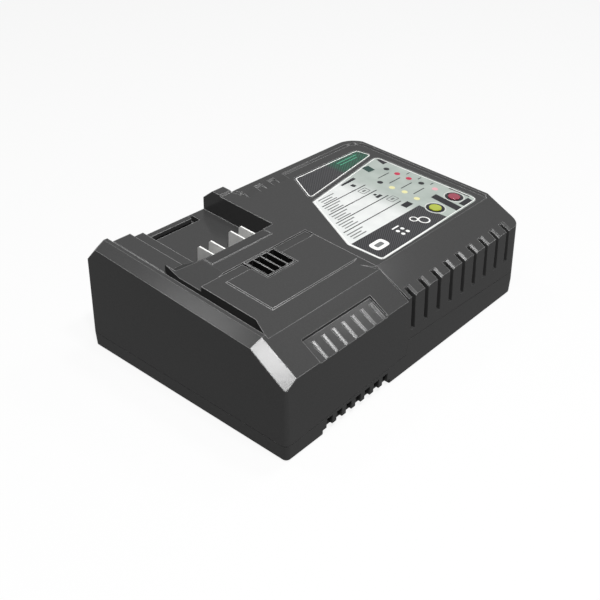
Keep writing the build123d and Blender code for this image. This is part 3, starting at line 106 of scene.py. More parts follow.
def start_finish(name, roughness=0.5, metallic=0.0, ior=None):
    """New material with its main shader; a metal keeps the shader's own IOR."""
    material = bpy.data.materials.new(name)
    material.use_nodes = True
    shader = material.node_tree.nodes["Principled BSDF"]
    shader.inputs["Roughness"].default_value = roughness
    shader.inputs["Metallic"].default_value = metallic
    if ior is not None:
        shader.inputs["IOR"].default_value = ior
    return material, material.node_tree, shader


print("node helper ready")

# %% [markdown]
# Most of the parts are moulded plastic, and moulded edges have small radii that catch the light as thin
# bright lines. The CAD has sharp edges, so the Bevel node rounds them in the shading only. Where the
# rounded and the true direction of the surface differ we are on an edge. There a pale colour is painted
# on as a painted highlight and the roughness drops; the painted highlight is kept to edges that look up
# and lie high on the charger.

# %% Painted edge highlights
FLAT_COSINE = 0.997     # between the rounded and the true direction: above this the surface is flat
EDGE_COSINE = 0.93      # and below this it is the middle of an edge
HIGHLIGHT_FROM = 30 * MM     # no painted highlight below this height
HIGHLIGHT_FULL = 36 * MM    # full painted highlight above this one


def edge_and_painted_highlight(tree, place, rounded):
    """Two outputs: the edge share, from 0 on a flat to 0.8 on an edge, and the painted highlight mask: that
    share times how much the edge looks up and how high it lies.
    """
    true_side = add_node(tree, "ShaderNodeNewGeometry")
    agree = add_node(tree, "ShaderNodeVectorMath", {"operation": "DOT_PRODUCT"},
                     {0: rounded.outputs[0], 1: true_side.outputs["Normal"]})
    edge_share = add_node(tree, "ShaderNodeMapRange", {1: FLAT_COSINE, 2: EDGE_COSINE, 3: 0.0, 4: 0.8},
                   {0: agree.outputs["Value"]})
    facing = add_node(tree, "ShaderNodeSeparateXYZ", None, {0: rounded.outputs[0]})
    looks_up = add_node(tree, "ShaderNodeMapRange", {1: 0.3, 2: 0.75, 3: 0.15, 4: 1.3},
                        {0: facing.outputs["Z"]})
    height = add_node(tree, "ShaderNodeSeparateXYZ", None, {0: place})
    high_up = add_node(tree, "ShaderNodeMapRange", {1: HIGHLIGHT_FROM, 2: HIGHLIGHT_FULL}, {0: height.outputs["Z"]})
    # Painted highlight: the edge mask, made larger on edges that look up and lie high.
    painted_highlight = edge_share.outputs[0]
    for factor in (looks_up, high_up):
        painted_highlight = add_node(tree, "ShaderNodeMath", {"operation": "MULTIPLY"}, {0: painted_highlight, 1: factor.outputs[0]})
        painted_highlight = painted_highlight.outputs[0]
    return edge_share.outputs[0], painted_highlight


print("wear starts", HIGHLIGHT_FROM / MM, "mm up and is full at", HIGHLIGHT_FULL / MM, "mm")

# %% [markdown]
# A mould is spark eroded, which leaves a fine pebbled skin on the plastic. Noise of that grain changes the
# shade and the roughness a little and gives the bump. The housing and the terminal block have no shine of
# their own but a thin coat over the colour, so that their walls stay dark beside a white floor while a
# small strong light still shows in them. The painted edge highlight comes in patches 30 mm wide.

# %% Moulded plastic
HIGHLIGHT_PATCH = 30      # mm
COAT_ROUGHNESS = 0.16
WORN_ROUGHNESS = 0.22


def moulded(name, colour, pale, highlight_colour, roughness=0.4, grain=0.6, depth=0.02, edge=0.35, shine=0.5, coat=0.0):
    """Moulded plastic: two close shades in a grain, pebbled bump, painted highlight on rounded edges. Sizes
    in mm.
    """
    material, tree, shader = start_finish(name, roughness, ior=1.5)
    shader.inputs["Specular IOR Level"].default_value = shine
    shader.inputs["Coat Weight"].default_value = coat
    shader.inputs["Coat Roughness"].default_value = COAT_ROUGHNESS
    place = add_node(tree, "ShaderNodeTexCoord").outputs["Object"]
    skin = add_node(tree, "ShaderNodeTexNoise", {"Scale": per_metre(grain), "Detail": 3.0}, {"Vector": place})
    cloud = add_node(tree, "ShaderNodeTexNoise", {"Scale": per_metre(HIGHLIGHT_PATCH), "Detail": 2.0},
                     {"Vector": place})
    rounded = add_node(tree, "ShaderNodeBevel", {"samples": 6, "Radius": edge * MM})
    edge_share, painted_highlight = edge_and_painted_highlight(tree, place, rounded)
    # Painted highlight: the pale fourth colour is mixed into the edges in patches.
    patchy_highlight = add_node(tree, "ShaderNodeMath", {"operation": "MULTIPLY"}, {0: painted_highlight, 1: cloud.outputs["Fac"]})
    shade = add_node(tree, "ShaderNodeMix", {"data_type": "RGBA", 6: linear(colour), 7: linear(pale)},
                     {0: skin.outputs["Fac"]})
    painted_highlight_mix = add_node(tree, "ShaderNodeMix", {"data_type": "RGBA", 7: linear(highlight_colour)},
                       {0: patchy_highlight.outputs[0], 6: shade.outputs[2]})
    flat_gloss = add_node(tree, "ShaderNodeMapRange", {3: roughness + 0.05, 4: roughness - 0.05},
                          {0: skin.outputs["Fac"]})
    gloss = add_node(tree, "ShaderNodeMix", {3: WORN_ROUGHNESS}, {0: edge_share, 2: flat_gloss.outputs[0]})
    bump = add_node(tree, "ShaderNodeBump", {"Strength": 0.25, "Distance": depth * MM},
                    {"Height": skin.outputs["Fac"], "Normal": rounded.outputs[0]})
    tree.links.new(painted_highlight_mix.outputs[2], shader.inputs["Base Color"])
    tree.links.new(gloss.outputs[0], shader.inputs["Roughness"])
    tree.links.new(bump.outputs[0], shader.inputs["Normal"])
    tree.links.new(bump.outputs[0], shader.inputs["Coat Normal"])
    return material


# The fourth colour of each finish is the colour of its painted edge highlight.
finishes = {
    "housing_plastic": moulded("glass_filled_nylon_spark_textured", "#3c3c3c", "#454545", "#d8d8d8", 0.4,
                               grain=0.7, depth=0.03, edge=0.5, shine=0.0, coat=0.18),
    "terminal_plastic": moulded("pbt_terminal_moulding", "#383838", "#414141", "#d0d0d0", 0.4,
                                edge=0.5, shine=0.0, coat=0.18),
    "grille_plastic": moulded("black_abs_painted_edge_highlight", "#161616", "#1e1e1e", "#f0f0f0", 0.25,
                              grain=0.9, edge=0.6, shine=0.1),
    "fan_plastic": moulded("black_pbt_fan_moulding", "#141415", "#1c1c1e", "#3c3c3e", 0.45),
    "component_epoxy": moulded("transfer_moulded_epoxy", "#131314", "#1d1d1f", "#3a3a3a", 0.55, grain=0.3),
    "inlet_plastic": moulded("black_nylon_inlet", "#111112", "#1b1b1c", "#505052", 0.4),
    "header_plastic": moulded("natural_nylon_connector", "#dcd8cc", "#e8e4da", "#f2efe8", 0.45),
    "bobbin_plastic": moulded("polyester_winding_tape", "#d8cc9c", "#e2d8ae", "#ece4c4", 0.35, grain=2.0),
    "ribbon_insulation": moulded("grey_pvc_ribbon", "#6c6c70", "#7c7c80", "#98989c", 0.5, grain=1.2),
    "ferrite": moulded("sintered_ferrite", "#2c2c2e", "#3a3a3d", "#5a5a5e", 0.7, grain=0.4),
}
print(len(finishes), "moulded finishes")

# %% [markdown]
# The feet are nitrile rubber: almost black, very rough, with a dusty grey bloom in blotches. The leads are
# soft PVC, smooth and slightly shiny, and the capacitors wear a shrunk sleeve or sit in a filled box. One
# recipe does for all four, with the bloom as blotches a few millimetres wide.

# %% Rubber, PVC and sleeves
def soft_skin(name, colour, bloom, roughness, blotch):
    """Soft polymer skin: one colour with a paler bloom in blotches of this many mm."""
    material, tree, shader = start_finish(name, roughness, ior=1.52)
    place = add_node(tree, "ShaderNodeTexCoord").outputs["Object"]
    dust = add_node(tree, "ShaderNodeTexNoise", {"Scale": per_metre(blotch), "Detail": 4.0},
                    {"Vector": place})
    shade = add_node(tree, "ShaderNodeMix", {"data_type": "RGBA", 6: linear(colour), 7: linear(bloom)},
                     {0: dust.outputs["Fac"]})
    bump = add_node(tree, "ShaderNodeBump", {"Strength": 0.2, "Distance": 0.03 * MM},
                    {"Height": dust.outputs["Fac"]})
    tree.links.new(shade.outputs[2], shader.inputs["Base Color"])
    tree.links.new(bump.outputs[0], shader.inputs["Normal"])
    return material


finishes["foot_rubber"] = soft_skin("nitrile_rubber", "#0e0e0e", "#2a2a2a", 0.85, 1.5)
finishes["lead_insulation"] = soft_skin("red_pvc_lead", "#7a1414", "#8e2222", 0.4, 2.0)
finishes["capacitor_sleeve"] = soft_skin("blue_shrink_sleeve", "#141a34", "#1d2544", 0.3, 4.0)
finishes["capacitor_box"] = soft_skin("yellow_polyester_box", "#b08a18", "#c09a26", 0.35, 3.0)
print("rubber, lead and capacitor skins")

# %% [markdown]
# Metals keep the shader's own IOR and get their colour from the base. Tin plate on the contact blades is
# matt and pale under a thin oxide, with faint rolling lines along the blade. Zinc on the screws is bluer,
# and the aluminium of the heat sinks shows the die lines of its extrusion. All three are the same recipe:
# stretched noise gives fine lines, which change the shade and the roughness.

# %% Metals
def plated(name, colour, dark, roughness, line, stretch, bare=1.0):
    """Metal with lines of this width in mm, stretched in x, y and z; bare is the share not under oxide."""
    material, tree, shader = start_finish(name, roughness, metallic=bare)
    place = add_node(tree, "ShaderNodeTexCoord").outputs["Object"]
    drawn = add_node(tree, "ShaderNodeMapping", {"Scale": stretch}, {"Vector": place})
    lines = add_node(tree, "ShaderNodeTexNoise", {"Scale": per_metre(line), "Detail": 3.0},
                     {"Vector": drawn.outputs[0]})
    shade = add_node(tree, "ShaderNodeMix", {"data_type": "RGBA", 6: linear(dark), 7: linear(colour)},
                     {0: lines.outputs["Fac"]})
    gloss = add_node(tree, "ShaderNodeMapRange", {3: roughness - 0.08, 4: roughness + 0.08},
                     {0: lines.outputs["Fac"]})
    soft = add_node(tree, "ShaderNodeBevel", {"samples": 4, "Radius": 0.2 * MM})
    tree.links.new(shade.outputs[2], shader.inputs["Base Color"])
    tree.links.new(gloss.outputs[0], shader.inputs["Roughness"])
    tree.links.new(soft.outputs[0], shader.inputs["Normal"])
    return material


finishes["contact_metal"] = plated("matt_tin_plated_brass", "#fbfbf9", "#eeeeec", 0.5, line=0.4,
                                   stretch=(0.2, 1.0, 1.0), bare=0.4)
finishes["screw_steel"] = plated("zinc_plated_steel", "#c4c8cc", "#9a9ea4", 0.35, line=0.3,
                                 stretch=(1.0, 1.0, 0.3))
finishes["sink_aluminium"] = plated("extruded_aluminium", "#d0d2d4", "#a8aaae", 0.4, line=0.3,
                                    stretch=(1.0, 1.0, 0.05))
print("three metals")

# %% [markdown]
# Enamelled copper wire is wound in close turns. A wave texture gives bands across the winding as colour and
# bump. A wave turns through 20 radians in each unit of its scale, so 0.8 mm for each radian makes bands 5
# mm apart: each stands for a layer of several turns, because single turns are too fine to show.

# %% Windings
WAVE_RADIANS = 20       # in one unit of a wave texture at scale 1
RADIAN_OF_WIRE = 0.8    # mm

copper, tree, shader = start_finish("enamelled_copper_wire", 0.3, metallic=0.9)
place = add_node(tree, "ShaderNodeTexCoord").outputs["Object"]
turns = add_node(tree, "ShaderNodeTexWave",
                 {"bands_direction": "Z", "Distortion": 0.6,
                  "Scale": per_metre(RADIAN_OF_WIRE) / WAVE_RADIANS}, {"Vector": place})
shade = add_node(tree, "ShaderNodeMix", {"data_type": "RGBA", 6: linear("#7a3a1a"), 7: linear("#c8743a")},
                 {0: turns.outputs["Fac"]})
bump = add_node(tree, "ShaderNodeBump", {"Strength": 0.6, "Distance": 0.2 * MM},
                {"Height": turns.outputs["Fac"]})
tree.links.new(shade.outputs[2], shader.inputs["Base Color"])
tree.links.new(bump.outputs[0], shader.inputs["Normal"])
finishes["copper_winding"] = copper
print("copper", copper.name)

# %% [markdown]
# A circuit board is woven glass in epoxy under green lacquer, with copper tracks that show through as a
# lighter green. Brick courses a few millimetres long stand in for the tracks, and a fine checker for the
# glass weave.

# %% Board laminate
laminate, tree, shader = start_finish("lacquered_glass_laminate", 0.3, ior=1.5)
place = add_node(tree, "ShaderNodeTexCoord").outputs["Object"]
tracks = add_node(tree, "ShaderNodeTexBrick",
                  {"Color1": linear("#0e4a26"), "Color2": linear("#12582e"), "Mortar": linear("#1f7a44"),
                   "Scale": per_metre(6), "Mortar Size": 0.06}, {"Vector": place})
weave = add_node(tree, "ShaderNodeTexChecker", {"Scale": per_metre(0.5)}, {"Vector": place})
bump = add_node(tree, "ShaderNodeBump", {"Strength": 0.1, "Distance": 0.02 * MM},
                {"Height": weave.outputs["Fac"]})
tree.links.new(tracks.outputs["Color"], shader.inputs["Base Color"])
tree.links.new(bump.outputs[0], shader.inputs["Normal"])
finishes["board_laminate"] = laminate
print("laminate", laminate.name)

# %% [markdown]
# Glass and clear acrylic let light through. The two lamp windows are tinted right through, so their colour
# sits in the transmission. A faint cloud in the roughness stands for the moulded diffuser on their
# undersides.

# %% Clear parts
DIFFUSER = 1.5          # mm, the grain of the moulded diffuser


def clear_part(name, colour, roughness, ior, through):
    """Clear tinted part, a little rougher in a fine cloud; through is the share of light that passes."""
    material, tree, shader = start_finish(name, roughness, ior=ior)
    shader.inputs["Base Color"].default_value = linear(colour)
    shader.inputs["Transmission Weight"].default_value = through
    place = add_node(tree, "ShaderNodeTexCoord").outputs["Object"]
    cloud = add_node(tree, "ShaderNodeTexNoise", {"Scale": per_metre(DIFFUSER)}, {"Vector": place})
    gloss = add_node(tree, "ShaderNodeMapRange", {3: roughness, 4: roughness + 0.15},
                     {0: cloud.outputs["Fac"]})
    tree.links.new(gloss.outputs[0], shader.inputs["Roughness"])
    return material


finishes["fuse_glass"] = clear_part("soda_glass_tube", "#f0f4f2", 0.05, 1.52, 0.9)
finishes["red_window"] = clear_part("red_acrylic_window", "#98183c", 0.12, 1.49, 0.25)
finishes["green_window"] = clear_part("yellow_green_acrylic_window", "#b0bc2c", 0.12, 1.49, 0.25)
finishes["lamp_epoxy"] = clear_part("clear_cast_epoxy", "#f4f0e0", 0.1, 1.52, 0.5)
print("clear finishes ready")

# %% [markdown]
# The label is printed polycarbonate film with a satin face. The header and the dark band carry a fine woven
# pattern, drawn here as the product of two waves across each other, 1.4 mm apart. The header's threads turn
# green towards its far end, and the band's keep one colour.

# %% Woven film
WEAVE = 1.4             # mm from thread to thread
PRINT_SHINE = 0.12      # printed film and ink reflect little


def fade_along(tree, place, start, end):
    """0 before start and 1 after end, both y positions in metres."""
    split = add_node(tree, "ShaderNodeSeparateXYZ", None, {0: place})
    return add_node(tree, "ShaderNodeMapRange", {"interpolation_type": "SMOOTHSTEP", 1: start, 2: end},
                    {0: split.outputs["Y"]}).outputs[0]


def woven_film(name, gap, thread, far_thread=None, start=0.0, end=0.0):
    """Dark print with threads where sin x * sin y is high; from start to end they fade to a second colour."""
    material, tree, shader = start_finish(name, 0.3, ior=1.58)
    shader.inputs["Specular IOR Level"].default_value = PRINT_SHINE
    place = add_node(tree, "ShaderNodeTexCoord").outputs["Object"]
    split = add_node(tree, "ShaderNodeSeparateXYZ", None, {0: place})
    ridges = []
    for axis in ("X", "Y"):
        phase = add_node(tree, "ShaderNodeMath", {"operation": "MULTIPLY", 1: 2 * np.pi * per_metre(WEAVE)},
                         {0: split.outputs[axis]})
        ridge = add_node(tree, "ShaderNodeMath", {"operation": "SINE"}, {0: phase.outputs[0]})
        ridges.append(ridge.outputs[0])
    meet = add_node(tree, "ShaderNodeMath", {"operation": "MULTIPLY"}, {0: ridges[0], 1: ridges[1]})
    share = add_node(tree, "ShaderNodeMapRange", {1: -0.3, 2: 0.6}, {0: meet.outputs[0]})
    cloth = add_node(tree, "ShaderNodeMix", {"data_type": "RGBA", 6: linear(gap), 7: linear(thread)},
                     {0: share.outputs[0]})
    if far_thread is not None:
        tinted = add_node(tree, "ShaderNodeMix", {"data_type": "RGBA", 6: linear(gap), 7: linear(far_thread)},
                          {0: share.outputs[0]})
        cloth = add_node(tree, "ShaderNodeMix", {"data_type": "RGBA"},
                         {0: fade_along(tree, place, start, end), 6: cloth.outputs[2], 7: tinted.outputs[2]})
    tree.links.new(cloth.outputs[2], shader.inputs["Base Color"])
    return material


finishes["label_dark"] = woven_film("woven_print_film", "#060607", "#48484b", "#256a52", 0.052, 0.058)
woven_band = woven_film("woven_band_film", "#070708", "#4c4c4f")
print("woven films ready")

# %% [markdown]
# The film of the table fades from pale grey at the near end to a darker grey green at the far end; the fade
# is a painted reflection. Each end has two close shades in a soft cloud, as print on a satin film has.

# %% Table film
table_film, tree, shader = start_finish("satin_polycarbonate_film", 0.35, ior=1.58)
shader.inputs["Specular IOR Level"].default_value = 0.2
place = add_node(tree, "ShaderNodeTexCoord").outputs["Object"]
cloud = add_node(tree, "ShaderNodeTexNoise", {"Scale": per_metre(9), "Detail": 3.0}, {"Vector": place})
near = add_node(tree, "ShaderNodeMix", {"data_type": "RGBA", 6: linear("#c6c8c7"), 7: linear("#dfe1df")},
                {0: cloud.outputs["Fac"]})
far = add_node(tree, "ShaderNodeMix", {"data_type": "RGBA", 6: linear("#8c9690"), 7: linear("#b0b8b2")},
               {0: cloud.outputs["Fac"]})
# Painted reflection: the film is painted lighter at the near end.
painted_reflection_fade = add_node(tree, "ShaderNodeMix", {"data_type": "RGBA"},
                 {0: fade_along(tree, place, 0.036, 0.058), 6: near.outputs[2], 7: far.outputs[2]})
tree.links.new(painted_reflection_fade.outputs[2], shader.inputs["Base Color"])
finishes["label_light"] = table_film
print("table film ready")

# %% [markdown]
# Now every part of the frame takes the finish that its record names.

# %% Dress the frame
for part in frame["record"]["subparts"]:
    mesh_object = nodes[part["node"]]
    mesh_object.data.materials.clear()
    mesh_object.data.materials.append(finishes[part["material_slot"]])

# %% [markdown]
# The print lies on the sloping deck. Its plane is measured from the upper face of the table film: the mean
# direction of the faces that look up, and how far they lie along it. `on_deck` then places any point given
# as millimetres across the charger and back from its front face.

# %% The plane of the label
LOOKS_UP = 0.9          # least upward share of a face's direction

film = nodes["label_panel"].data
count = len(film.polygons)
sides = np.empty(count * 3)
film.polygons.foreach_get("normal", sides)
middles = np.empty(count * 3)
film.polygons.foreach_get("center", middles)
sizes = np.empty(count)
film.polygons.foreach_get("area", sizes)
sides = sides.reshape(-1, 3)
middles = middles.reshape(-1, 3)
facing_up = sides[:, 2] > LOOKS_UP
deck_up = (sides[facing_up] * sizes[facing_up, None]).sum(axis=0)
deck_up /= np.linalg.norm(deck_up)
deck_level = float((middles[facing_up] @ deck_up).max())
along_y = np.array((0.0, 1.0, 0.0))
deck_run = np.cross(along_y, deck_up)
deck_start = -deck_level * deck_up[0] / deck_run[0]  # puts x = 0 on the middle plane of the charger
front_face = cad_box[0][1]
print("deck leans", round(float(np.degrees(np.arcsin(deck_up[0]))), 2), "degrees")
print("its film lies", round(deck_level / MM, 2), "mm from the origin")


def on_deck(x, back, lift):
    """Points on the deck: (start + x) * run + (front + back) * Y + (level + lift) * up, arguments in mm."""
    x, back, lift = [value[..., None] * MM for value in np.broadcast_arrays(x, back, lift)]
    return (deck_start + x) * deck_run + (front_face + back) * along_y + (deck_level + lift) * deck_up


# %% [markdown]
# Every new surface is a grid of points. `surface_piece` turns one or more grids into a single mesh: the
# corners of each square are the points (i, j), (i+1, j), (i+1, j+1), (i, j+1), written as whole arrays.
# Points that meet at a seam or a pole are merged. The piece then rides on the housing and takes its
# finish.

# %% Grids to meshes
SEAM = 0.0001 * MM      # points nearer than this are one


def grid_squares(rows, columns, start):
    """Corner numbers of all squares of a grid whose first point has the number start."""
    first = start + (np.arange(rows - 1)[:, None] * columns + np.arange(columns - 1)).ravel()
    return np.stack([first, first + columns, first + columns + 1, first + 1], axis=1)


def face_up(grid):
    """The grid, turned over if it looks down: the sum of (p10 - p00) x (p01 - p00) is held against up."""
    down_rows = grid[1:, :-1] - grid[:-1, :-1]
    along_rows = grid[:-1, 1:] - grid[:-1, :-1]
    return grid if (np.cross(down_rows, along_rows) @ deck_up).sum() > 0 else grid[::-1]


def surface_piece(name, grids, material, smooth=False):
    """One object from grids of shape (rows, columns, 3), each facing up, with its seams and poles merged."""
    grids = [face_up(grid) for grid in grids]
    starts = np.cumsum([0] + [grid.shape[0] * grid.shape[1] for grid in grids])
    points = np.concatenate([grid.reshape(-1, 3) for grid in grids])
    squares = np.concatenate([grid_squares(*grid.shape[:2], start) for grid, start in zip(grids, starts)])
    mesh = bpy.data.meshes.new(name)
    mesh.from_pydata(points.tolist(), [], squares.tolist())
    joined = bmesh.new()
    joined.from_mesh(mesh)
    bmesh.ops.remove_doubles(joined, verts=joined.verts, dist=SEAM)
    joined.to_mesh(mesh)
    joined.free()
    mesh.polygons.foreach_set("use_smooth", np.full(len(mesh.polygons), smooth))
    mesh.materials.append(material)
    piece = bpy.data.objects.new(name, mesh)
    bpy.context.scene.collection.objects.link(piece)
    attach(piece, "housing")
    print(name, len(mesh.vertices), "points,", len(mesh.polygons), "faces")


# %% [markdown]
# Four kinds of sheet are enough for the flat print. A patch is the sheet between two edges, and a bar is a
# patch along the deck. A disc is a set of rings about a centre, and a fill is a sheet from an outline in to
# its middle.

# %% Flat shapes of the print
def patch(near, far, lift):
    """Sheet between two edges: (1 - t) * near + t * far, t from 0 to 1; both edges are lists of (x, back)."""
    near, far = np.array(near, float), np.array(far, float)
    t = np.linspace(0, 1, 2)[:, None, None]
    flat = (1 - t) * near + t * far
    return on_deck(flat[..., 0], flat[..., 1], lift)


def bar(x, start, end, width, lift):
    """Bar of this width along the deck at x, from start to end."""
    left, right = x - width / 2, x + width / 2
    return patch([(left, start), (right, start)], [(left, end), (right, end)], lift)


def disc(x, back, inner, outer, lift, steps=32):
    """Ring or disc: (x + r * cos(a), back + r * sin(a)), r from outer to inner and a once round."""
    r = np.linspace(outer, inner, 4)[:, None]
    a = np.linspace(0, 2 * np.pi, steps + 1)[None, :]
    return on_deck(x + r * np.cos(a), back + r * np.sin(a), lift)


def fill(outline, centre, lift):
    """Sheet from an outline in to its centre: (1 - t) * outline + t * centre."""
    t = np.linspace(0, 1, 3)[:, None, None]
    flat = (1 - t) * outline[None] + t * np.array(centre)
    return on_deck(flat[..., 0], flat[..., 1], lift)


print("flat shapes ready")

# %% [markdown]
# A border is a rail: a low rounded bead carried round a closed outline. Outlines are circles, or corners
# joined by straight sides with each corner rounded.

# %% Outlines and rails
def rectangle(x, back, width, length):
    """Four corners, round from the near left one, of a rectangle with its middle at (x, back)."""
    left, right = x - width / 2, x + width / 2
    near, far = back - length / 2, back + length / 2
    return [(left, near), (right, near), (right, far), (left, far)]


def circle(x, back, radius, steps=48):
    """Closed outline: (x + radius * cos(a), back + radius * sin(a)), a once round."""
    a = np.linspace(0, 2 * np.pi, steps + 1)
    return np.stack([x + radius * np.cos(a), back + radius * np.sin(a)], axis=1)


def rounded_outline(corners, radius, steps=6):
    """Closed outline: each corner is the curve (1-t)^2 * start + 2t(1-t) * corner + t^2 * end.

    Its start and end are where an arc of this radius would touch the two sides: radius / tan(half the angle)
    from the corner.
    """
    corners = np.array(corners, float)
    before = np.roll(corners, 1, axis=0) - corners
    after = np.roll(corners, -1, axis=0) - corners
    before /= np.linalg.norm(before, axis=1)[:, None]
    after /= np.linalg.norm(after, axis=1)[:, None]
    half_angle = np.arccos((before * after).sum(axis=1)) / 2
    reach = (radius / np.tan(half_angle))[:, None]
    t = np.linspace(0, 1, steps)[None, :, None]
    start, end = corners + before * reach, corners + after * reach
    curve = (1 - t) ** 2 * start[:, None] + 2 * t * (1 - t) * corners[:, None] + t ** 2 * end[:, None]
    outline = curve.reshape(-1, 2)
    return np.concatenate([outline, outline[:1]])


def rail(outline, width, height, lift, steps=6):
    """Bead round an outline: offset w = -cos(a) * width / 2 sideways, sin(a) * height up, a from 0 to pi."""
    along = np.roll(outline[:-1], -1, axis=0) - np.roll(outline[:-1], 1, axis=0)
    along = np.concatenate([along, along[:1]])
    along /= np.linalg.norm(along, axis=1)[:, None]
    aside = np.stack([along[:, 1], -along[:, 0]], axis=1)
    a = np.linspace(0, np.pi, steps)[:, None]
    w, h = -np.cos(a) * width / 2, np.sin(a) * height
    x = outline[None, :, 0] + w * aside[None, :, 0]
    back = outline[None, :, 1] + w * aside[None, :, 1]
    return on_deck(x, back, lift + h)


print("outlines and rails ready")

# %% [markdown]
# Screen ink is a thin even layer with a slight orange peel. Each colour of the print gets its own ink,
# which varies a little in brightness over blotches half a millimetre wide.

# %% Inks
PEEL = 0.5              # mm


def screen_ink(name, colour):
    """Screen ink: one colour, from 0.85 to 1.1 times as bright over the blotches of its peel."""
    material, tree, shader = start_finish(name, 0.35, ior=1.5)
    shader.inputs["Specular IOR Level"].default_value = PRINT_SHINE
    place = add_node(tree, "ShaderNodeTexCoord").outputs["Object"]
    peel = add_node(tree, "ShaderNodeTexNoise", {"Scale": per_metre(PEEL), "Detail": 2.0}, {"Vector": place})
    level = add_node(tree, "ShaderNodeMapRange", {3: 0.85, 4: 1.1}, {0: peel.outputs["Fac"]})
    shade = add_node(tree, "ShaderNodeHueSaturation", {"Color": linear(colour)}, {"Value": level.outputs[0]})
    tree.links.new(shade.outputs[0], shader.inputs["Base Color"])
    return material


inks = {
    "black": screen_ink("black_screen_ink", "#1c1c20"),
    "white": screen_ink("white_screen_ink", "#ececea"),
    "grey": screen_ink("grey_screen_ink", "#6c6e6e"),
    "pale": screen_ink("pale_grey_screen_ink", "#c4c8c4"),
    "red": screen_ink("red_screen_ink", "#b42848"),
    "pink": screen_ink("pink_screen_ink", "#d8a0a8"),
    "yellow": screen_ink("pale_yellow_screen_ink", "#d8d4a0"),
    "green": screen_ink("dark_green_screen_ink", "#1e3a34"),
    "light_green": screen_ink("light_green_screen_ink", "#4c9a7c"),
}
print(len(inks), "inks")

# %% [markdown]
# The dark band down the right side of the panel carries the woven pattern, with a white lozenge, four dots,
# a bar and two rings. Nothing on it is lettered: only plain shapes are drawn. Each layer of print is raised
# by one thickness of ink over the layer below. All places and sizes are millimetres.

# %% Dark band and its marks
INK = 0.03

band_left = [(25.2, 93.0), (25.4, 150.4)]
band_right = [(43.9, 94.0), (42.7, 151.2)]
surface_piece("label_band", [patch(band_right, band_left, INK)], woven_band)

lozenge_middle = (35.0, 102.9)
lozenge = rounded_outline(rectangle(*lozenge_middle, width=6.8, length=10.6), radius=2.6)
lozenge_core = rounded_outline(rectangle(*lozenge_middle, width=2.8, length=5.8), radius=1.0)
white_marks = [fill(lozenge, lozenge_middle, 2 * INK)]
for x in (37.0, 33.6):
    white_marks += [disc(x, back, inner=0.0, outer=1.1, lift=2 * INK, steps=16) for back in (120.2, 124.0)]
white_marks.append(bar(30.6, start=119.4, end=124.8, width=0.9, lift=2 * INK))
white_marks.append(disc(36.2, 139.6, inner=2.5, outer=3.3, lift=2 * INK))
white_marks.append(disc(32.0, 136.2, inner=1.7, outer=2.4, lift=2 * INK))
surface_piece("label_white_marks", white_marks, inks["white"])
core = fill(lozenge_core, lozenge_middle, 3 * INK)
surface_piece("label_lozenge_core", [core], inks["grey"])

# %% [markdown]
# The table has five rows along the deck, parted by thin black lines. Its near edge slants. Each row starts
# behind that edge with three grey bars, of different lengths, where its words would be.

# %% Table lines and bars
row_places = np.array((-12.2, -4.6, 3.5, 11.4, 20.4))
line_places = (row_places[:-1] + row_places[1:]) / 2
edge_left = (-15.4, 110.9)
edge_right = (24.6, 91.3)


def near_edge(x):
    """How far back the table's near edge is at x: on the straight line from its left end to its right end."""
    slope = (edge_right[1] - edge_left[1]) / (edge_right[0] - edge_left[0])
    return edge_left[1] + (x - edge_left[0]) * slope


lines = [bar(x, start=near_edge(x) + 3.0, end=147.0, width=0.65, lift=INK) for x in line_places]
lines += [bar(x, start=158.6, end=168.6, width=0.6, lift=INK) for x in line_places]
lines += [bar(x, start=174.6, end=177.6, width=0.6, lift=INK) for x in line_places[1:]]
surface_piece("label_row_lines", lines, inks["black"])

word_lengths = {-1.8: 12.5, 0.3: 9.0, 2.3: 10.5}  # by offset from the middle of the row
words = []
for x in row_places:
    start = near_edge(x) + 4.5
    for offset, length in word_lengths.items():
        words.append(bar(x + offset, start, start + length, width=0.75, lift=INK))
surface_piece("label_word_bars", words, inks["grey"])

# %% [markdown]
# Between the bars and the dots each row has a small plain mark: filled black boxes, or a grey box drawn as
# a thin line round a short bar.

# %% Row marks
filled = [bar(4.6, start=140.0, end=144.5, width=2.0, lift=INK),
          bar(2.2, start=141.0, end=143.0, width=1.6, lift=INK),
          bar(20.4, start=143.0, end=149.4, width=4.0, lift=INK),
          bar(-12.3, start=140.0, end=142.6, width=2.6, lift=INK)]
surface_piece("label_row_marks", filled, inks["black"])
boxes = []
for x, back in ((-4.6, 141.0), (11.4, 145.5)):
    box_outline = rounded_outline(rectangle(x, back, width=4.0, length=6.0), radius=0.6)
    boxes.append(rail(box_outline, width=0.5, height=0.02, lift=INK))
    boxes.append(bar(x, start=back - 1.4, end=back + 1.4, width=1.2, lift=INK))
surface_piece("label_row_boxes", boxes, inks["grey"])

# %% [markdown]
# At the far end of the table each row has one or two small round dots, which stand for the lamps' signals.
# Every dot has the same radius. The dots of one colour are one piece, so that they are dressed at once.

# %% Status dots
DOT_RADIUS = 1.7

dots = {
    "black": [(-4.7, 155.6), (11.5, 172.1), (-12.2, 171.3)],
    "red": [(-4.5, 171.2), (3.4, 171.4)],
    "pink": [(20.6, 172.2)],
    "yellow": [(3.5, 155.6), (11.2, 156.8), (20.2, 155.6)],
}
for colour, places in dots.items():
    discs = [disc(x, back, inner=0.0, outer=DOT_RADIUS, lift=INK, steps=20) for x, back in places]
    surface_piece("label_dots_" + colour, discs, inks[colour])

# %% [markdown]
# Dark patches lie between and round the two lamps and along the left and far edges of the table, with one
# in dark green. Two light green lines stand in the green end of the header.

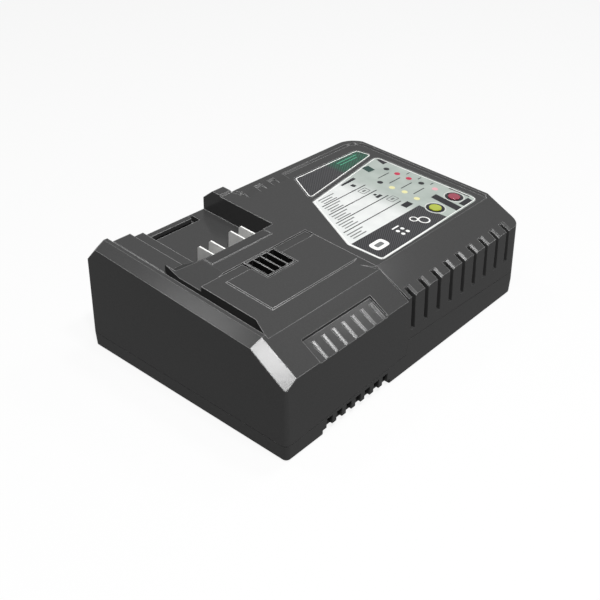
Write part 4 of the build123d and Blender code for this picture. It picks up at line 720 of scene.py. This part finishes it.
# %% Patches and green lines
black_patches = [
    patch([(24.6, 162.6), (24.4, 167.6)], [(42.4, 160.6), (42.4, 165.8)], INK),      # between the lamps
    patch([(25.4, 178.4), (25.6, 179.8)], [(38.6, 178.8), (38.4, 180.2)], INK),      # behind the red lamp
    patch([(38.8, 168.0), (38.8, 177.4)], [(42.2, 168.0), (42.2, 176.8)], INK),      # right of the red lamp
    patch([(-23.6, 176.6), (-22.6, 178.6)], [(-17.0, 174.4), (-16.8, 178.8)], INK),  # far left corner
    patch([(-17.4, 136.4), (-18.4, 148.6)], [(-16.0, 136.4), (-16.2, 148.6)], INK),  # left edge
]
surface_piece("label_dark_patches", black_patches, inks["black"])
green_patch = patch([(-22.6, 161.4), (-21.8, 166.6)], [(-16.4, 160.4), (-16.0, 165.6)], INK)
surface_piece("label_green_patches", [green_patch], inks["green"])
green_lines = [bar(-35.4, start=155.0, end=172.5, width=0.7, lift=INK),
               bar(-33.0, start=155.0, end=170.0, width=0.7, lift=INK)]
surface_piece("header_green_lines", green_lines, inks["light_green"])

# %% [markdown]
# Each lamp window sits in a black printed ring with a raised pale bead round it.

# %% Lamp rings
lamps = {"red": (33.0, 172.5), "green": (33.0, 154.5)}
surrounds = [disc(*middle, inner=3.5, outer=5.1, lift=2 * INK) for middle in lamps.values()]
surface_piece("lamp_surrounds", surrounds, inks["black"])
rings = [rail(circle(*middle, radius=5.4), width=0.8, height=0.25, lift=0.0) for middle in lamps.values()]
surface_piece("lamp_rings", rings, inks["pale"], smooth=True)

# %% [markdown]
# A thin white line is printed round the header and round the panel. It is a low bead, so that it catches
# light as a thick layer of ink does.

# %% Borders
header_corners = [(-39.0, 123.8), (-38.3, 176.6), (-29.6, 178.4), (-19.4, 113.6)]
panel_corners = [(-14.6, 111.4), (24.8, 92.3), (43.7, 93.6), (42.4, 180.0), (-25.2, 178.6)]
header_border = rail(rounded_outline(header_corners, radius=1.6), width=0.6, height=0.06, lift=INK)
surface_piece("header_border", [header_border], inks["white"], smooth=True)
panel_border = rail(rounded_outline(panel_corners, radius=2.4), width=0.5, height=0.05, lift=INK)
surface_piece("panel_border", [panel_border], inks["white"], smooth=True)

# %% [markdown]
# The studio is a wide pale floor under a plain sky. To the camera, to reflections and through clear parts
# the floor and the sky look white, and to the light that falls on the object they are grey and dim. The
# floor keeps the object's shadow, because a part of its brightness comes from the lamps.

# %% Floor
HALF_FLOOR = 1.5        # metres
FLOOR_GAP = 0.02 * MM   # the floor clears the flat undersides of the feet
GLOWING_SHARE = 0.88    # of the floor's brightness where it is seen


def white_rays(tree):
    """1 for rays from the camera, from reflections and through clear parts, 0 for the rest."""
    path = add_node(tree, "ShaderNodeLightPath")
    seen = path.outputs["Is Camera Ray"]
    for kind in ("Is Glossy Ray", "Is Transmission Ray"):
        largest = add_node(tree, "ShaderNodeMath", {"operation": "MAXIMUM"}, {0: seen, 1: path.outputs[kind]})
        seen = largest.outputs[0]
    return seen


floor_mesh = bpy.data.meshes.new("floor")
corners = [(x * HALF_FLOOR, y * HALF_FLOOR, -FLOOR_GAP) for x, y in ((-1, -1), (1, -1), (1, 1), (-1, 1))]
floor_mesh.from_pydata(corners, [], [(0, 1, 2, 3)])
floor = bpy.data.objects.new("floor", floor_mesh)
bpy.context.scene.collection.objects.link(floor)
card, tree, shader = start_finish("matt_white_card", 0.9, ior=1.45)
shader.inputs["Specular IOR Level"].default_value = 0.0
seen = white_rays(tree)
paint = add_node(tree, "ShaderNodeMix", {"data_type": "RGBA", 6: linear("#949494"), 7: linear("#e2e2e2")},
                 {0: seen})
tree.links.new(paint.outputs[2], shader.inputs["Base Color"])
share = add_node(tree, "ShaderNodeMath", {"operation": "MULTIPLY", 1: GLOWING_SHARE}, {0: seen})
glow = add_node(tree, "ShaderNodeEmission", {"Color": (1, 1, 1, 1), "Strength": 1.0})
blend = add_node(tree, "ShaderNodeMixShader", None,
                 {0: share.outputs[0], 1: shader.outputs[0], 2: glow.outputs[0]})
tree.links.new(blend.outputs[0], tree.nodes["Material Output"].inputs["Surface"])
floor_mesh.materials.append(card)
print("floor", 2 * HALF_FLOOR, "m wide")

# %% [markdown]
# The sky is one even colour. It is white where it is seen, and lights the object with about a tenth of
# that.

# %% Sky
SKY_LIGHT = 0.11

world = bpy.data.worlds.new("studio")
bpy.context.scene.world = world
world.use_nodes = True
sky = world.node_tree
strength = add_node(sky, "ShaderNodeMapRange", {3: SKY_LIGHT, 4: 1.0}, {0: white_rays(sky)})
sky.nodes["Background"].inputs["Color"].default_value = (1, 1, 1, 1)
sky.links.new(strength.outputs[0], sky.nodes["Background"].inputs["Strength"])
print("sky", world.name)

# %% [markdown]
# Six square lights aim at the middle of the object. The key is small and strong, so that it shows as a
# bright reflection on the one facet that mirrors it to the camera and hardly changes the matt faces. The
# second stands where the notched tops of the side vents mirror it, and the third lights the deck from
# above. The last three are dim and fill the other sides.

# %% Lights
AIM = Vector((0, 0, 40 * MM))


def studio_light(name, direction, distance, side, watts):
    """Square light at this distance in this direction from the object, facing it; lengths in metres."""
    light = bpy.data.lights.new(name, "AREA")
    light.size = side
    light.energy = watts
    holder = bpy.data.objects.new(name, light)
    outward = Vector(direction).normalized()
    holder.location = outward * distance + AIM
    holder.rotation_euler = outward.to_track_quat("Z", "Y").to_euler()
    bpy.context.scene.collection.objects.link(holder)


studio_light("key", (0.382, -0.286, 0.879), distance=0.92, side=0.105, watts=5.0)
studio_light("vents", (0.389, -0.02, 0.921), distance=0.92, side=0.11, watts=2.6)
studio_light("top", (0.037, 0.281, 0.959), distance=1.2, side=0.16, watts=2.7)
studio_light("left", (-0.5, -0.2, 0.85), distance=1.1, side=0.15, watts=1.0)
studio_light("rear", (0.15, 0.63, 0.75), distance=1.1, side=0.15, watts=1.0)
studio_light("front", (0.1, -0.6, 0.8), distance=1.0, side=0.2, watts=0.8)
print("six lights")

# %% [markdown]
# The camera looks down over the near corner. Its lens is worked out for a frame 600 pixels wide, from how
# far off, in those pixels, the picture plane lies: a thing as wide as it is distant would be 862 pixels
# wide.

# %% Camera
FRAME_PIXELS = 600
FOCUS_PIXELS = 862
SENSOR = 36             # mm

camera_data = bpy.data.cameras.new("camera")
camera = bpy.data.objects.new("camera", camera_data)
bpy.context.scene.collection.objects.link(camera)
place = Vector((0.2527, -0.2956, 0.2575))
ahead = Vector((-0.5604, 0.6303, -0.5373)).normalized()
aside = Vector((0.7473, 0.6645, 0)).normalized()
turn = Matrix((aside, aside.cross(ahead), -ahead)).transposed()
camera.matrix_world = Matrix.Translation(place) @ turn.to_4x4()
camera_data.sensor_width = SENSOR
camera_data.lens = FOCUS_PIXELS * SENSOR / FRAME_PIXELS
camera_data.clip_start = 10 * MM
bpy.context.scene.camera = camera
bpy.context.scene.view_settings.view_transform = "Standard"
print("lens", round(camera_data.lens, 2), "mm")
